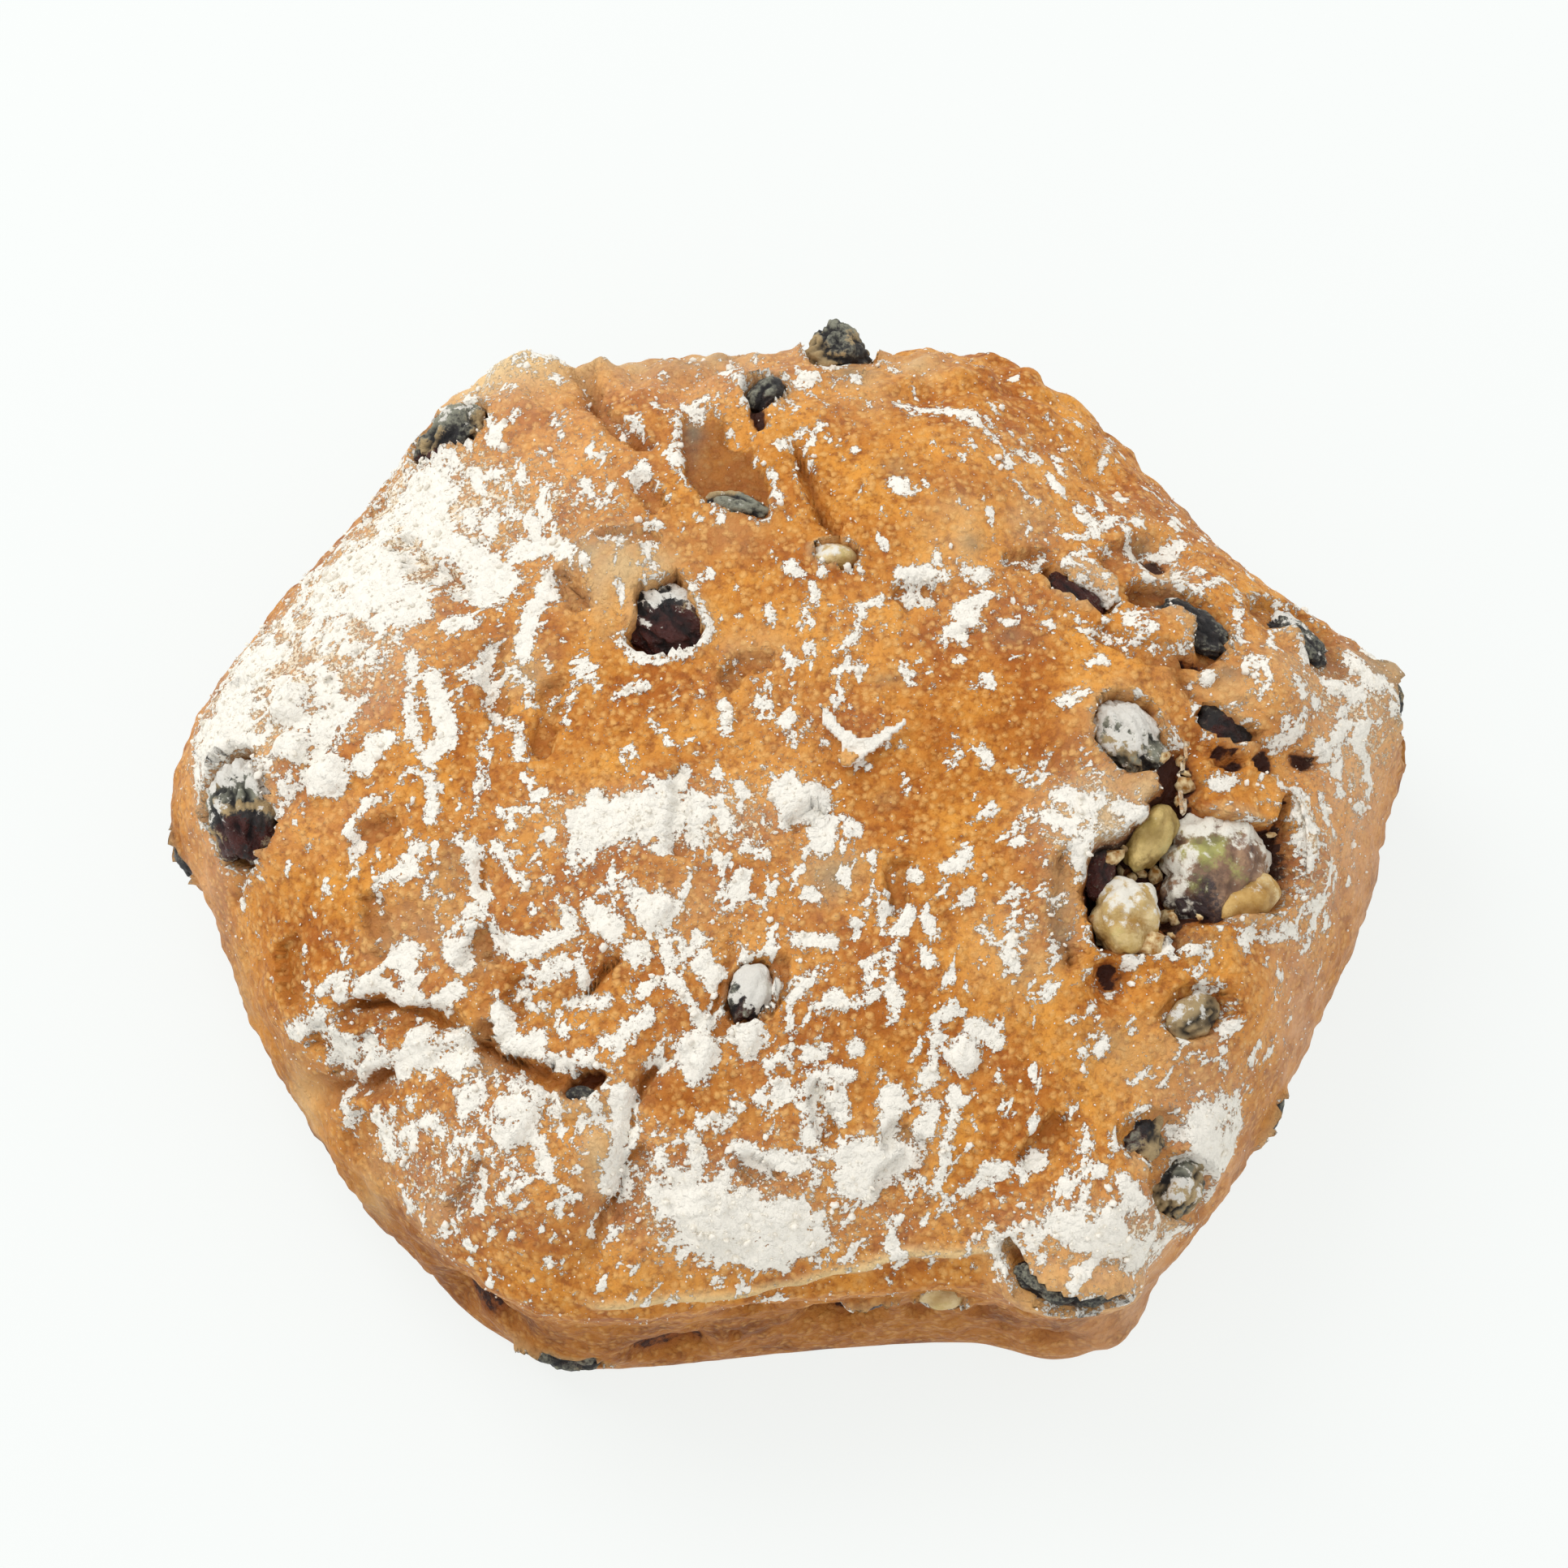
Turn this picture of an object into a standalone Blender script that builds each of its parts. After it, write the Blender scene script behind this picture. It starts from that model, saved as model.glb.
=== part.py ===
"""Nut raisin bun: a flat six-sided bun with raisins and nuts showing in its crust.

The bun is one solid. A chart, which is a flat disc, is wrapped over the bun: the way out along a
spoke of the chart is the way down a meridian, from the middle of the top to the foot of the side.
Lumps, pits and cracks then lift or sink that smooth form along its own normals. Each raisin and nut
that shows is a solid of its own, in a pocket that is cut a little larger than it.

+Z is up and the front is -Y. The origin is on the table, under the middle of the bun.
"""
import math
from collections import namedtuple

import bmesh
import bpy
import numpy as np
from mathutils import Matrix, Vector, noise

MM = 0.001  # every size below is in millimetres

# ---------------------------------------------------------------- driving dimensions
HEIGHT = 37.5  # table to the top of the crust
BELLY = 14.0  # height at which the round sides reach furthest out
CREASE = 24.5  # height of the crease over the flat front side
MIDDLE = (0.6, 2.4)  # middle of the whole bun's box, in the outline's own plan
GAP = 0.42  # between a raisin or nut and the wall of its pocket

# The widest line of the bun, seen from above, anticlockwise from the right-hand point.
OUTLINE = [
    (57, 0), (59.6, 8), (60.8, 14.5), (57, 20), (50, 25.5), (44, 31), (38, 38.5), (31, 46),
    (25, 51), (17, 52.5), (7, 51.5), (-3, 51.8), (-14, 51.5), (-25, 51), (-32, 48.8), (-37, 43),
    (-43, 34.5), (-50, 25.5), (-56, 16), (-59, 8), (-58.8, 2), (-55.5, -5), (-51.5, -14.5),
    (-44.6, -26.4), (-36.2, -37.5), (-30, -43), (-21, -47.6), (-8, -47.2), (5, -46), (18, -45.4),
    (27, -47), (34, -43), (41, -34), (48, -22.5), (53.2, -11),
]
# Meridians as (share of the outline's reach, height), from the middle of the top to the foot.
ROUND_SIDE = [
    (0, HEIGHT), (0.3, HEIGHT - 0.4), (0.55, HEIGHT - 1.8), (0.75, HEIGHT - 4.8), (0.88, 28.2),
    (0.96, 21.5), (1, BELLY), (0.985, 6), (0.94, 1.2), (0.91, 0),
]
FLAT_FRONT = [
    (0, HEIGHT), (0.3, HEIGHT - 0.5), (0.55, HEIGHT - 2), (0.75, HEIGHT - 4.8), (0.9, 28.6),
    (0.985, CREASE), (0.99, CREASE - 3), (0.97, BELLY), (0.985, 6), (0.985, 1.2), (0.96, 0),
]
FRONT_FROM, FRONT_TO, FRONT_FADE = -132, -50, 9  # the flat front, in degrees round the bun
FOOT = 5.0  # the relief fades out below this height, so that the underside stays flat

# Chart: squares across the top, then rings down the side.
TOP_CELLS = 38
TOP_SHARE = 0.62  # of the way down the meridian
SIDE_RINGS = 7

# Lumps (and pits, below nought) of the crust: place of the middle, reach, height.
Lump = namedtuple("Lump", "x y z reach height")
LUMPS = [
    Lump(-15.6, 20.2, 36.5, 6.4, 2.6),  # skin over the torn raisin
    Lump(-50, -1, 29, 9, 1.3),
    Lump(-33, 37.5, 28, 8, 1.3),
    Lump(4.6, 46.5, 26, 8.5, 2.4),  # the crust climbs the raisin at the back
    Lump(34.2, 12.6, 34, 5.6, 1.9),  # flap inside the hooked raisin
    Lump(45.5, 9, 32, 6, 2.2),  # skin over the raisin in the slit
    Lump(57, 11, 23, 8, 1.6),
    Lump(30, 5, 35.8, 6.5, 1.5),
    Lump(26.5, -6, 36, 7, 1.3),  # left lip of the hollow
    Lump(50, -6, 29, 6, 1.5),  # right lip of the hollow
    Lump(40, -20, 30, 9, 1),
    Lump(29, -39, 28, 9, 2.4),
    Lump(37, -34, 24, 8, 1.6),
    Lump(-24, -39, 31, 9, 1.8),
    Lump(-16.6, -34.8, 33, 3.6, 1.4),
    Lump(-37, 17, 33, 12, 1.2),
    Lump(-8, 0, 37.5, 15, 0.9),
    Lump(16, 30, 35, 12, 1.3),
    Lump(9, -16, 36.5, 16, 0.9),
    Lump(-46, -20, 25, 9, 1.2),
    Lump(-4, 42, 32, 6, 1.5),  # rim between the pocket and the back
    Lump(-27, 47, 26, 7, 1.5),
    Lump(-6, 35, 34, 5.5, -2.4),  # open pocket at the back
    Lump(-3.5, 29, 35.4, 5, -1.6),
    Lump(-18.8, 42.5, 31.5, 4, -1.8),
    Lump(35.7, 23.6, 31.5, 4.2, -2.4),  # pit at the right
    Lump(31.5, 33.5, 30.5, 4.5, -1.6),
    Lump(38.4, 2.6, 34.3, 3.4, -1.6),
    Lump(47.5, 3, 31.2, 3.8, -1.8),
    Lump(29.6, -19.6, 34, 3.4, -2.4),
    Lump(-32, -15, 34, 5, -1.1),
    Lump(-25.5, 8, 36, 5, -0.9),
    Lump(5.2, -45.5, 10.7, 6, -2.6),  # hollows in the front side
    Lump(-3, -46, 16.6, 3.6, -2.2),
    Lump(-10.8, -46, 6.6, 5.5, -1.9),
    Lump(25.5, -45, 6.5, 4, -1.6),
    Lump(-28.5, -43, 8, 7, -2.4),
    Lump(31, -43, 3.5, 6, 1.4),
    Lump(14, -45, 20, 6, -0.9),
]

# Cracks and folds of the top: the route in plan, half width, depth.
Crack = namedtuple("Crack", "route width depth")
CRACKS = [
    Crack([(-7.7, -26), (-12, -29), (-14.1, -35.2), (-16, -40.1), (-16.8, -43.4)], 2.2, 2.3),
    Crack([(-44.8, -25.3), (-39.1, -26.8), (-31.5, -26), (-27, -25.5), (-19.2, -29.8)], 1.8, 1.9),
    Crack([(-39.7, -20.1), (-34.2, -21.7), (-27, -25.5)], 1.7, 1.5),
    Crack([(-27.7, -8.5), (-26.8, -13.1), (-27.2, -20), (-27, -25.5)], 1.7, 1.5),
    Crack([(-27, -25.5), (-19.3, -22.4), (-15, -18.1)], 1.6, 1.4),
    Crack([(-4.8, -16.7), (-5.5, -20.4), (-7.7, -26)], 1.6, 1.2),
    Crack([(-42.8, 2.7), (-46.2, -2), (-52, -7.4)], 1.8, 1.6),
    Crack([(-19.6, 45.6), (-17.6, 39), (-13.2, 34.5)], 1.8, 2),
    Crack([(1.5, 34), (2.8, 29), (4, 24.8)], 1.8, 2.2),
    Crack([(36.4, 10.3), (38.6, 7.2), (45, 3.4)], 1.8, 2),
    Crack([(25.6, -9.5), (25.3, -14.8), (25.8, -18.4)], 1.7, 1.6),
]
DOUGH_SEED = 7  # where the unevenness of the dough is read from
DOUGH_SCALES = [(26, 0.9), (9, 0.45)]  # width and height of that unevenness

# Raisins and nuts: place in plan, height on the side (None on the top), length, width, thickness,
# turn of the long axis from +X in degrees, depth of the middle under the crust.
Piece = namedtuple("Piece", "name x y z length width thickness turn sunk")
RAISINS = [
    Piece("raisin_left", -50.8, -0.8, None, 11.5, 9.5, 8.5, 78, 1),
    Piece("raisin_corner", -32.2, 38, None, 9.5, 7.8, 7.4, 40, 0.9),
    Piece("raisin_tear", -10.8, 15.2, None, 11.5, 8.5, 7.5, -38, 2.2),
    Piece("raisin_peak", 5.2, 48.6, None, 8.4, 7, 9, 20, -0.6),
    Piece("raisin_back", -1.6, 41, None, 5.5, 4.2, 4.4, 65, 0.2),
    Piece("raisin_pocket", -4.4, 27.6, None, 9, 4.4, 4.6, -12, 2),
    Piece("raisin_red", 27.2, 18.6, None, 7.5, 4.4, 4.6, -35, 1.3),
    Piece("raisin_hook", 38.4, 15.8, None, 9.5, 5.4, 5.4, -42, 1.1),
    Piece("raisin_slit", 41.3, 5.4, None, 8, 5, 4.6, -36, 1.9),
    Piece("raisin_slope", 48.7, 16.5, None, 8.5, 5.4, 5, -42, 1.4),
    Piece("raisin_right", 58, 12.6, None, 7.4, 6.2, 6.5, -65, 1.4),
    Piece("raisin_grey", 31.5, 3.8, None, 9.5, 7.4, 6.6, -48, 1.3),
    Piece("raisin_cave", 29, -9, None, 6, 3.8, 4.4, 75, 2.4),
    Piece("raisin_flat", 37.1, -21.9, None, 7, 4.9, 3.4, 25, 0.5),
    Piece("raisin_low", 32.4, -33.2, None, 7.6, 6, 5.4, 60, 1.6),
    Piece("raisin_low_grey", 35.6, -36.2, None, 9, 6.6, 6.2, 30, 0.4),
    Piece("raisin_front", 24.6, -44.8, 26, 11.5, 5.4, 5.4, -8, 0.4),
    Piece("raisin_edge_right", 46.5, -26.9, 14, 6.4, 4.2, 4.4, 60, 1),
    Piece("raisin_edge_left", -60, 0.5, 13, 6.4, 4.4, 4.2, 100, 1),
    Piece("raisin_base", -21, -47.5, 5.2, 9.4, 4.2, 5, -6, 0.8),
    Piece("raisin_crack", -18.2, -31, None, 4.6, 3.4, 3.6, -10, 0.6),
    Piece("raisin_floured", -3, -21.5, None, 6.2, 5, 4.4, 60, 0.9),
    Piece("raisin_side", 8.2, -45.5, 15.6, 5.6, 3.4, 3.8, -4, 1),
]
NUTS = [
    Piece("nut_walnut", 40.8, -7.4, None, 13.4, 11.4, 9.6, 75, 3),
    Piece("nut_peeled", 43, -10.6, None, 7.6, 5, 4.6, 25, 0.8),
    Piece("nut_upper", 33.9, -5.6, None, 8.4, 4.4, 5, 58, 1.8),
    Piece("nut_lower", 31.5, -13.4, None, 8.4, 7.4, 6.6, 75, 1.6),
    Piece("nut_side", 15, -45.2, 15, 6, 3.4, 4, 4, 1),
    Piece("nut_seed", 4.6, 21.6, None, 5.4, 3.4, 3.4, -6, 0.7),
]
HOLLOWS = [
    Piece("nut_hollow", 37.6, -8, None, 19, 15.6, 13, 8, 0.4),
    Piece("slit", 41.4, 5.3, None, 7, 3.4, 7, -36, 0),
]
# Where two kernels press on each other, the first is hollowed to fit the second.
PRESSED = [
    ("nut_walnut", "nut_peeled"), ("nut_upper", "nut_walnut"), ("nut_lower", "nut_walnut"),
    ("nut_upper", "nut_lower"), ("raisin_cave", "nut_lower"), ("raisin_cave", "nut_upper"),
]
# Sides and bands of a piece that is longer than the first number.
FACETS = [(7, 12, 8), (5, 10, 6), (0, 8, 5)]
# Furrows of a raisin and folds of a kernel: their width, and their depth as a share of the half size.
WRINKLES = (2.4, 0.2)
LOBES = (4.5, 0.14)
FURROW_SLOPE = 3  # how fast a furrow climbs back to the full size


# ---------------------------------------------------------------- curves and the smooth form
def smooth_curve(knots, closed=False, steps=16):
    """Points of a Catmull-Rom curve through the knots."""
    knots = np.array(knots, float)
    if closed:
        padded = np.vstack([knots[-1:], knots, knots[:2]])
    else:
        padded = np.vstack([2 * knots[0] - knots[1], knots, 2 * knots[-1] - knots[-2]])
    a, b, c, d = (padded[i:len(padded) - 3 + i] for i in range(4))
    t = np.linspace(0, 1, steps, endpoint=False)[:, None, None]
    curve = b + 0.5 * t * (c - a + t * (2 * a - 5 * b + 4 * c - d + t * (3 * (b - c) + d - a)))
    curve = curve.transpose(1, 0, 2).reshape(-1, 2)
    return curve if closed else np.vstack([curve, knots[-1:]])


def by_length(curve):
    """The curve's points, and the share of its length at which each lies."""
    steps = np.linalg.norm(np.diff(curve, axis=0), axis=1)
    way = np.concatenate([[0], np.cumsum(steps)])
    return way / way[-1], curve


def smoothstep(low, high, value):
    """0 below low, 1 above high and an even rise between."""
    t = np.clip((value - low) / (high - low), 0, 1)
    return t * t * (3 - 2 * t)


RIM = smooth_curve(OUTLINE, closed=True)
RIM_ANGLE = np.arctan2(RIM[:, 1], RIM[:, 0])
RIM_REACH = np.hypot(RIM[:, 0], RIM[:, 1])
RIM_ORDER = np.argsort(RIM_ANGLE)
REACH = float(RIM_REACH.mean())
SCALE = np.array([REACH, 1])
ROUND_WAY, ROUND_CURVE = by_length(smooth_curve(ROUND_SIDE) * SCALE)
FLAT_WAY, FLAT_CURVE = by_length(smooth_curve(FLAT_FRONT) * SCALE)


def form(way, angle):
    """Points of the smooth bun, at a share of the way down the meridian, at an angle round it."""
    way, angle = np.atleast_1d(way), np.atleast_1d(angle)
    reach = np.interp(angle, RIM_ANGLE[RIM_ORDER], RIM_REACH[RIM_ORDER], period=2 * math.pi)
    turn = np.degrees(angle)
    flat = smoothstep(FRONT_FROM - FRONT_FADE, FRONT_FROM + FRONT_FADE, turn)
    flat = flat * (1 - smoothstep(FRONT_TO - FRONT_FADE, FRONT_TO + FRONT_FADE, turn))
    share, height = (
        (1 - flat) * np.interp(way, ROUND_WAY, ROUND_CURVE[:, i])
        + flat * np.interp(way, FLAT_WAY, FLAT_CURVE[:, i])
        for i in range(2)
    )
    out = reach * share / REACH
    return np.stack([out * np.cos(angle), out * np.sin(angle), height], axis=1)


def crust_at(x, y, z=None):
    """The point of the smooth form over a place in plan, or beside it at a height, and its normal."""
    angle = math.atan2(y, x)
    small = 0.01
    ways = np.arange(small, 1 - small, small / 4)
    points = form(ways, np.full(len(ways), angle))
    if z is None:
        out = np.hypot(points[:, 0], points[:, 1])
        nearest = int(np.argmin(np.where(points[:, 2] > BELLY, abs(out - math.hypot(x, y)), np.inf)))
    else:
        nearest = int(np.argmin(abs(points[:, 2] - z)))
    way = ways[nearest]
    down = form(way + small, angle)[0] - form(way - small, angle)[0]
    sideways = form(way, angle + small)[0] - form(way, angle - small)[0]
    return Vector(points[nearest]), Vector(np.cross(down, sideways)).normalized()


# ---------------------------------------------------------------- relief of the crust
def lump_lift(points):
    lift = np.zeros(len(points))
    for lump in LUMPS:
        away = np.linalg.norm(points - (lump.x, lump.y, lump.z), axis=1) / lump.reach
        lift += lump.height * np.clip(1 - away ** 2, 0, None) ** 2
    return lift


def way_to(points, route):
    """Distance in plan from each point to a route."""
    nearest = np.full(len(points), np.inf)
    curve = smooth_curve(route, steps=6)
    for start, end in zip(curve[:-1], curve[1:]):
        along = end - start
        t = np.clip((points[:, :2] - start) @ along / (along @ along), 0, 1)
        nearest = np.minimum(nearest, np.linalg.norm(points[:, :2] - start - t[:, None] * along, axis=1))
    return nearest


def crack_lift(points):
    on_top = smoothstep(BELLY, CREASE, points[:, 2])
    lift = np.zeros(len(points))
    for crack in CRACKS:
        lift = np.minimum(lift, -crack.depth * np.exp(-(way_to(points, crack.route) / crack.width) ** 2))
    return lift * on_top


def dough_lift(points):
    """The slow unevenness of hand-cut dough."""
    lift = np.zeros(len(points))
    for width, height in DOUGH_SCALES:
        shift = Vector((DOUGH_SEED, DOUGH_SEED, width))
        lift += [height * noise.noise(Vector(p) / width + shift) for p in points]
    return lift


def relief(points):
    """How far the crust lies outside the smooth form."""
    lift = lump_lift(points) + crack_lift(points) + dough_lift(points)
    return lift * smoothstep(0, FOOT, points[:, 2])


# ---------------------------------------------------------------- meshes
def bend_square(mesh, size):
    """Bend a square grid into a disc, its square rings into round ones."""
    for vert in mesh.verts:
        x, y = vert.co.x, vert.co.y
        ring = max(abs(x), abs(y))
        if ring == 0:
            continue
        if abs(x) >= abs(y):
            angle = math.pi / 4 * y / x + (0 if x > 0 else math.pi)
        else:
            angle = math.pi / 2 * (1 if y > 0 else -1) - math.pi / 4 * x / y
        vert.co = Vector((math.cos(angle), math.sin(angle), 0)) * ring * size


def chart():
    """The flat disc that is wrapped over the bun, and the edges of its outermost ring."""
    mesh = bmesh.new()
    bmesh.ops.create_grid(mesh, x_segments=TOP_CELLS, y_segments=TOP_CELLS, size=1)
    bend_square(mesh, TOP_SHARE)
    rim = [edge for edge in mesh.edges if edge.is_boundary]
    for ring in range(SIDE_RINGS):
        inner = TOP_SHARE + (1 - TOP_SHARE) * ring / SIDE_RINGS
        outer = TOP_SHARE + (1 - TOP_SHARE) * (ring + 1) / SIDE_RINGS
        grown = bmesh.ops.extrude_edge_only(mesh, edges=rim)["geom"]
        verts = [item for item in grown if isinstance(item, bmesh.types.BMVert)]
        bmesh.ops.scale(mesh, verts=verts, vec=(outer / inner, outer / inner, 1))
        rim = [edge for edge in grown if isinstance(edge, bmesh.types.BMEdge) and edge.is_boundary]
    return mesh, rim


def wrap(mesh):
    """Wrap the chart over the smooth form, then lift it by the relief."""
    flat = np.array([vert.co[:2] for vert in mesh.verts])
    points = form(np.hypot(flat[:, 0], flat[:, 1]), np.arctan2(flat[:, 1], flat[:, 0]))
    for vert, point in zip(mesh.verts, points):
        vert.co = point
    mesh.normal_update()
    for vert, lift in zip(mesh.verts, relief(points)):
        vert.co += vert.normal * float(lift)


def round_body(piece, grow=0.0):
    """A round body of the piece's size about its own middle, grown outwards by a distance."""
    mesh = bmesh.new()
    sides, bands = next(level[1:] for level in FACETS if piece.length > level[0])
    bmesh.ops.create_uvsphere(mesh, u_segments=sides, v_segments=bands, radius=1)
    half = Vector((piece.length, piece.width, piece.thickness)) / 2
    bmesh.ops.scale(mesh, verts=mesh.verts[:], vec=half + Vector((grow, grow, grow)))
    return mesh


def furrow(mesh, piece, width, share):
    """Sink furrows into a round body, so that it never reaches outside its size."""
    for vert in mesh.verts:
        height = abs(noise.noise(vert.co / width + Vector((piece.x, piece.y, 0))))
        vert.co *= 1 - share * (1 - min(1, FURROW_SLOPE * height))


def seat(piece):
    """Where a piece sits: its middle under the crust, flat side along the crust, turned in plan."""
    point, normal = crust_at(piece.x, piece.y, piece.z)
    turn = math.radians(piece.turn)
    along = Vector((math.cos(turn), math.sin(turn), 0))
    along = (along - normal * along.dot(normal)).normalized()
    across = normal.cross(along)
    turned = Matrix((along, across, normal)).transposed().to_4x4()
    place = point - normal * piece.sunk - Vector((*MIDDLE, 0))
    return Matrix.Translation(place * MM) @ turned


# ---------------------------------------------------------------- objects
def material(name, colour, roughness):
    """A Principled surface of one sRGB colour, written as hex."""
    channels = [int(colour[i:i + 2], 16) / 255 for i in (0, 2, 4)]
    linear = [c / 12.92 if c <= 0.04045 else ((c + 0.055) / 1.055) ** 2.4 for c in channels]
    made = bpy.data.materials.new(name)
    made.use_nodes = True
    shader = made.node_tree.nodes["Principled BSDF"]
    shader.inputs["Base Color"].default_value = (*linear, 1)
    shader.inputs["Roughness"].default_value = roughness
    made.diffuse_color = (*linear, 1)
    return made


def finish(mesh, name, surface=None, matrix=None):
    """Turn a bmesh in millimetres into a named object in metres."""
    bmesh.ops.scale(mesh, verts=mesh.verts[:], vec=(MM, MM, MM))
    bmesh.ops.recalc_face_normals(mesh, faces=mesh.faces[:])
    data = bpy.data.meshes.new(name)
    mesh.to_mesh(data)
    mesh.free()
    thing = bpy.data.objects.new(name, data)
    bpy.context.scene.collection.objects.link(thing)
    if matrix:
        thing.matrix_world = matrix
    if surface:
        data.materials.append(surface)
        data.shade_smooth()
        data.set_sharp_from_angle(angle=math.radians(50))
    return thing


def cut(body, tool):
    """Take the tool out of the body; the tool stays as a wire guide."""
    tool.hide_render = True
    tool.display_type = "WIRE"
    step = body.modifiers.new(tool.name, "BOOLEAN")
    step.operation = "DIFFERENCE"
    step.object = tool


def make_bun(crust):
    mesh, foot = chart()
    wrap(mesh)
    bmesh.ops.contextual_create(mesh, geom=foot)
    bmesh.ops.triangulate(mesh, faces=mesh.faces[:])
    bmesh.ops.translate(mesh, verts=mesh.verts[:], vec=(-MIDDLE[0], -MIDDLE[1], 0))
    return finish(mesh, "bun", crust)


def make_piece(piece, surface, width, share):
    mesh = round_body(piece)
    furrow(mesh, piece, width, share)
    return finish(mesh, piece.name, surface, seat(piece))


def make_pocket(piece, grow=GAP):
    return finish(round_body(piece, grow), piece.name + "_pocket", matrix=seat(piece))


def clear_scene():
    for thing in list(bpy.data.objects):
        bpy.data.objects.remove(thing, do_unlink=True)


def main():
    clear_scene()
    crust = material("browned_crust", "B87440", 0.7)
    dried_fruit = material("raisin_skin", "2A2226", 0.45)
    kernel = material("nut_flesh", "C9A050", 0.5)
    kernel_skin = material("walnut_skin", "7A5A4E", 0.6)

    bun = make_bun(crust)
    made, pockets = {}, {}
    for piece in RAISINS:
        made[piece.name] = make_piece(piece, dried_fruit, *WRINKLES)
    for piece in NUTS:
        surface = kernel_skin if piece.name == "nut_walnut" else kernel
        made[piece.name] = make_piece(piece, surface, *LOBES)
    for piece in RAISINS + NUTS:
        made[piece.name].parent = bun
        pockets[piece.name] = make_pocket(piece)
        cut(bun, pockets[piece.name])
    for piece in HOLLOWS:
        cut(bun, make_pocket(piece, grow=0))
    for hollowed, pressing in PRESSED:
        cut(made[hollowed], pockets[pressing])


main()
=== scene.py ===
# %% [markdown]
# # A nut raisin bun
#
# This bun is a slab of fruit dough, cut by hand into six sides, floured and baked until its crust
# browns. The frame gives its true size and the place of every raisin and nut. What is added here is
# what one sees up close: cracked flour, torn skin, wrinkled fruit and waxy kernels.

# %% Load the frame
import math
from collections import namedtuple

import bmesh
import bpy
import numpy as np
from mathutils import Matrix, Vector, noise
from mathutils.bvhtree import BVHTree


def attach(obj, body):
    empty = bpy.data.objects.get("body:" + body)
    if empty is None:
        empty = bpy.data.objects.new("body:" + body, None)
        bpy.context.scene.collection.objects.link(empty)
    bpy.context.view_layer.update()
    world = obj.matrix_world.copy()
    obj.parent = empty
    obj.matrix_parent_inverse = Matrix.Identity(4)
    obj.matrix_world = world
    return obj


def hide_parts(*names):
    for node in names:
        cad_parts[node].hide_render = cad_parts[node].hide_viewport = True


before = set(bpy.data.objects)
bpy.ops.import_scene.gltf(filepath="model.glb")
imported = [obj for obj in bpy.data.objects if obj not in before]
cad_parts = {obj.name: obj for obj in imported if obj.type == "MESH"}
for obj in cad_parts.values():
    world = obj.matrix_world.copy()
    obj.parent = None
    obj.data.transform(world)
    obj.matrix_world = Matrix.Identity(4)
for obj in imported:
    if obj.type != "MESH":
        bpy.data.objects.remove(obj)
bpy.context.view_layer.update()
MM = 0.001  # sizes are in millimetres until a piece is finished
DOUGH_SEED = 7  # the same uneven dough each time
noise.seed_set(DOUGH_SEED)
MIDDLE = np.array([0.6, 2.4, 0])  # middle of the bun's box, in the plan that all places use

# %% [markdown]
# ## The smooth form
#
# Risen dough has no edges of its own: its outline, seen from above, is a soft six-sided line, and its
# height falls off towards that line. So two meridians, one for the round sides and one for the flat
# cut front, are blended round the bun, and each is stretched to the outline's reach.

# %% Outline and meridians
HEIGHT, BELLY, CREASE, FOOT = 37.5, 14.0, 24.5, 5.0
OUTLINE = [
    (57, 0), (59.6, 8), (60.8, 14.5), (57, 20), (50, 25.5), (44, 31), (38, 38.5), (31, 46),
    (25, 51), (17, 52.5), (7, 51.5), (-3, 51.8), (-14, 51.5), (-25, 51), (-32, 48.8), (-37, 43),
    (-43, 34.5), (-50, 25.5), (-56, 16), (-59, 8), (-58.8, 2), (-55.5, -5), (-51.5, -14.5),
    (-44.6, -26.4), (-36.2, -37.5), (-30, -43), (-21, -47.6), (-8, -47.2), (5, -46), (18, -45.4),
    (27, -47), (34, -43), (41, -34), (48, -22.5), (53.2, -11),
]
ROUND_SIDE = [
    (0, HEIGHT), (0.3, HEIGHT - 0.4), (0.55, HEIGHT - 1.8), (0.75, HEIGHT - 4.8), (0.88, 28.2),
    (0.96, 21.5), (1, BELLY), (0.985, 6), (0.94, 1.2), (0.91, 0),
]
FLAT_FRONT = [
    (0, HEIGHT), (0.3, HEIGHT - 0.5), (0.55, HEIGHT - 2), (0.75, HEIGHT - 4.8), (0.9, 28.6),
    (0.985, CREASE), (0.99, CREASE - 3), (0.97, BELLY), (0.985, 6), (0.985, 1.2), (0.96, 0),
]
FRONT_FROM, FRONT_TO, FRONT_FADE = -132, -50, 9  # the flat front, in degrees round the bun


def smooth_curve(knots, closed=False, steps=16):
    """Points of a Catmull-Rom curve through the knots."""
    knots = np.array(knots, float)
    if closed:
        padded = np.vstack([knots[-1:], knots, knots[:2]])
    else:
        padded = np.vstack([2 * knots[0] - knots[1], knots, 2 * knots[-1] - knots[-2]])
    a, b, c, d = (padded[i:len(padded) - 3 + i] for i in range(4))
    t = np.linspace(0, 1, steps, endpoint=False)[:, None, None]
    curve = b + 0.5 * t * (c - a + t * (2 * a - 5 * b + 4 * c - d + t * (3 * (b - c) + d - a)))
    curve = curve.transpose(1, 0, 2).reshape(-1, knots.shape[1])
    return curve if closed else np.vstack([curve, knots[-1:]])


def by_length(curve):
    """The share of the curve's length at which each point lies, and the points."""
    steps = np.linalg.norm(np.diff(curve, axis=0), axis=1)
    way = np.concatenate([[0], np.cumsum(steps)])
    return way / way[-1], curve


def smoothstep(low, high, value):
    """0 below low, 1 above high and an even rise between. With high below low it falls instead."""
    t = np.clip((value - low) / (high - low), 0, 1)
    return t * t * (3 - 2 * t)


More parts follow.
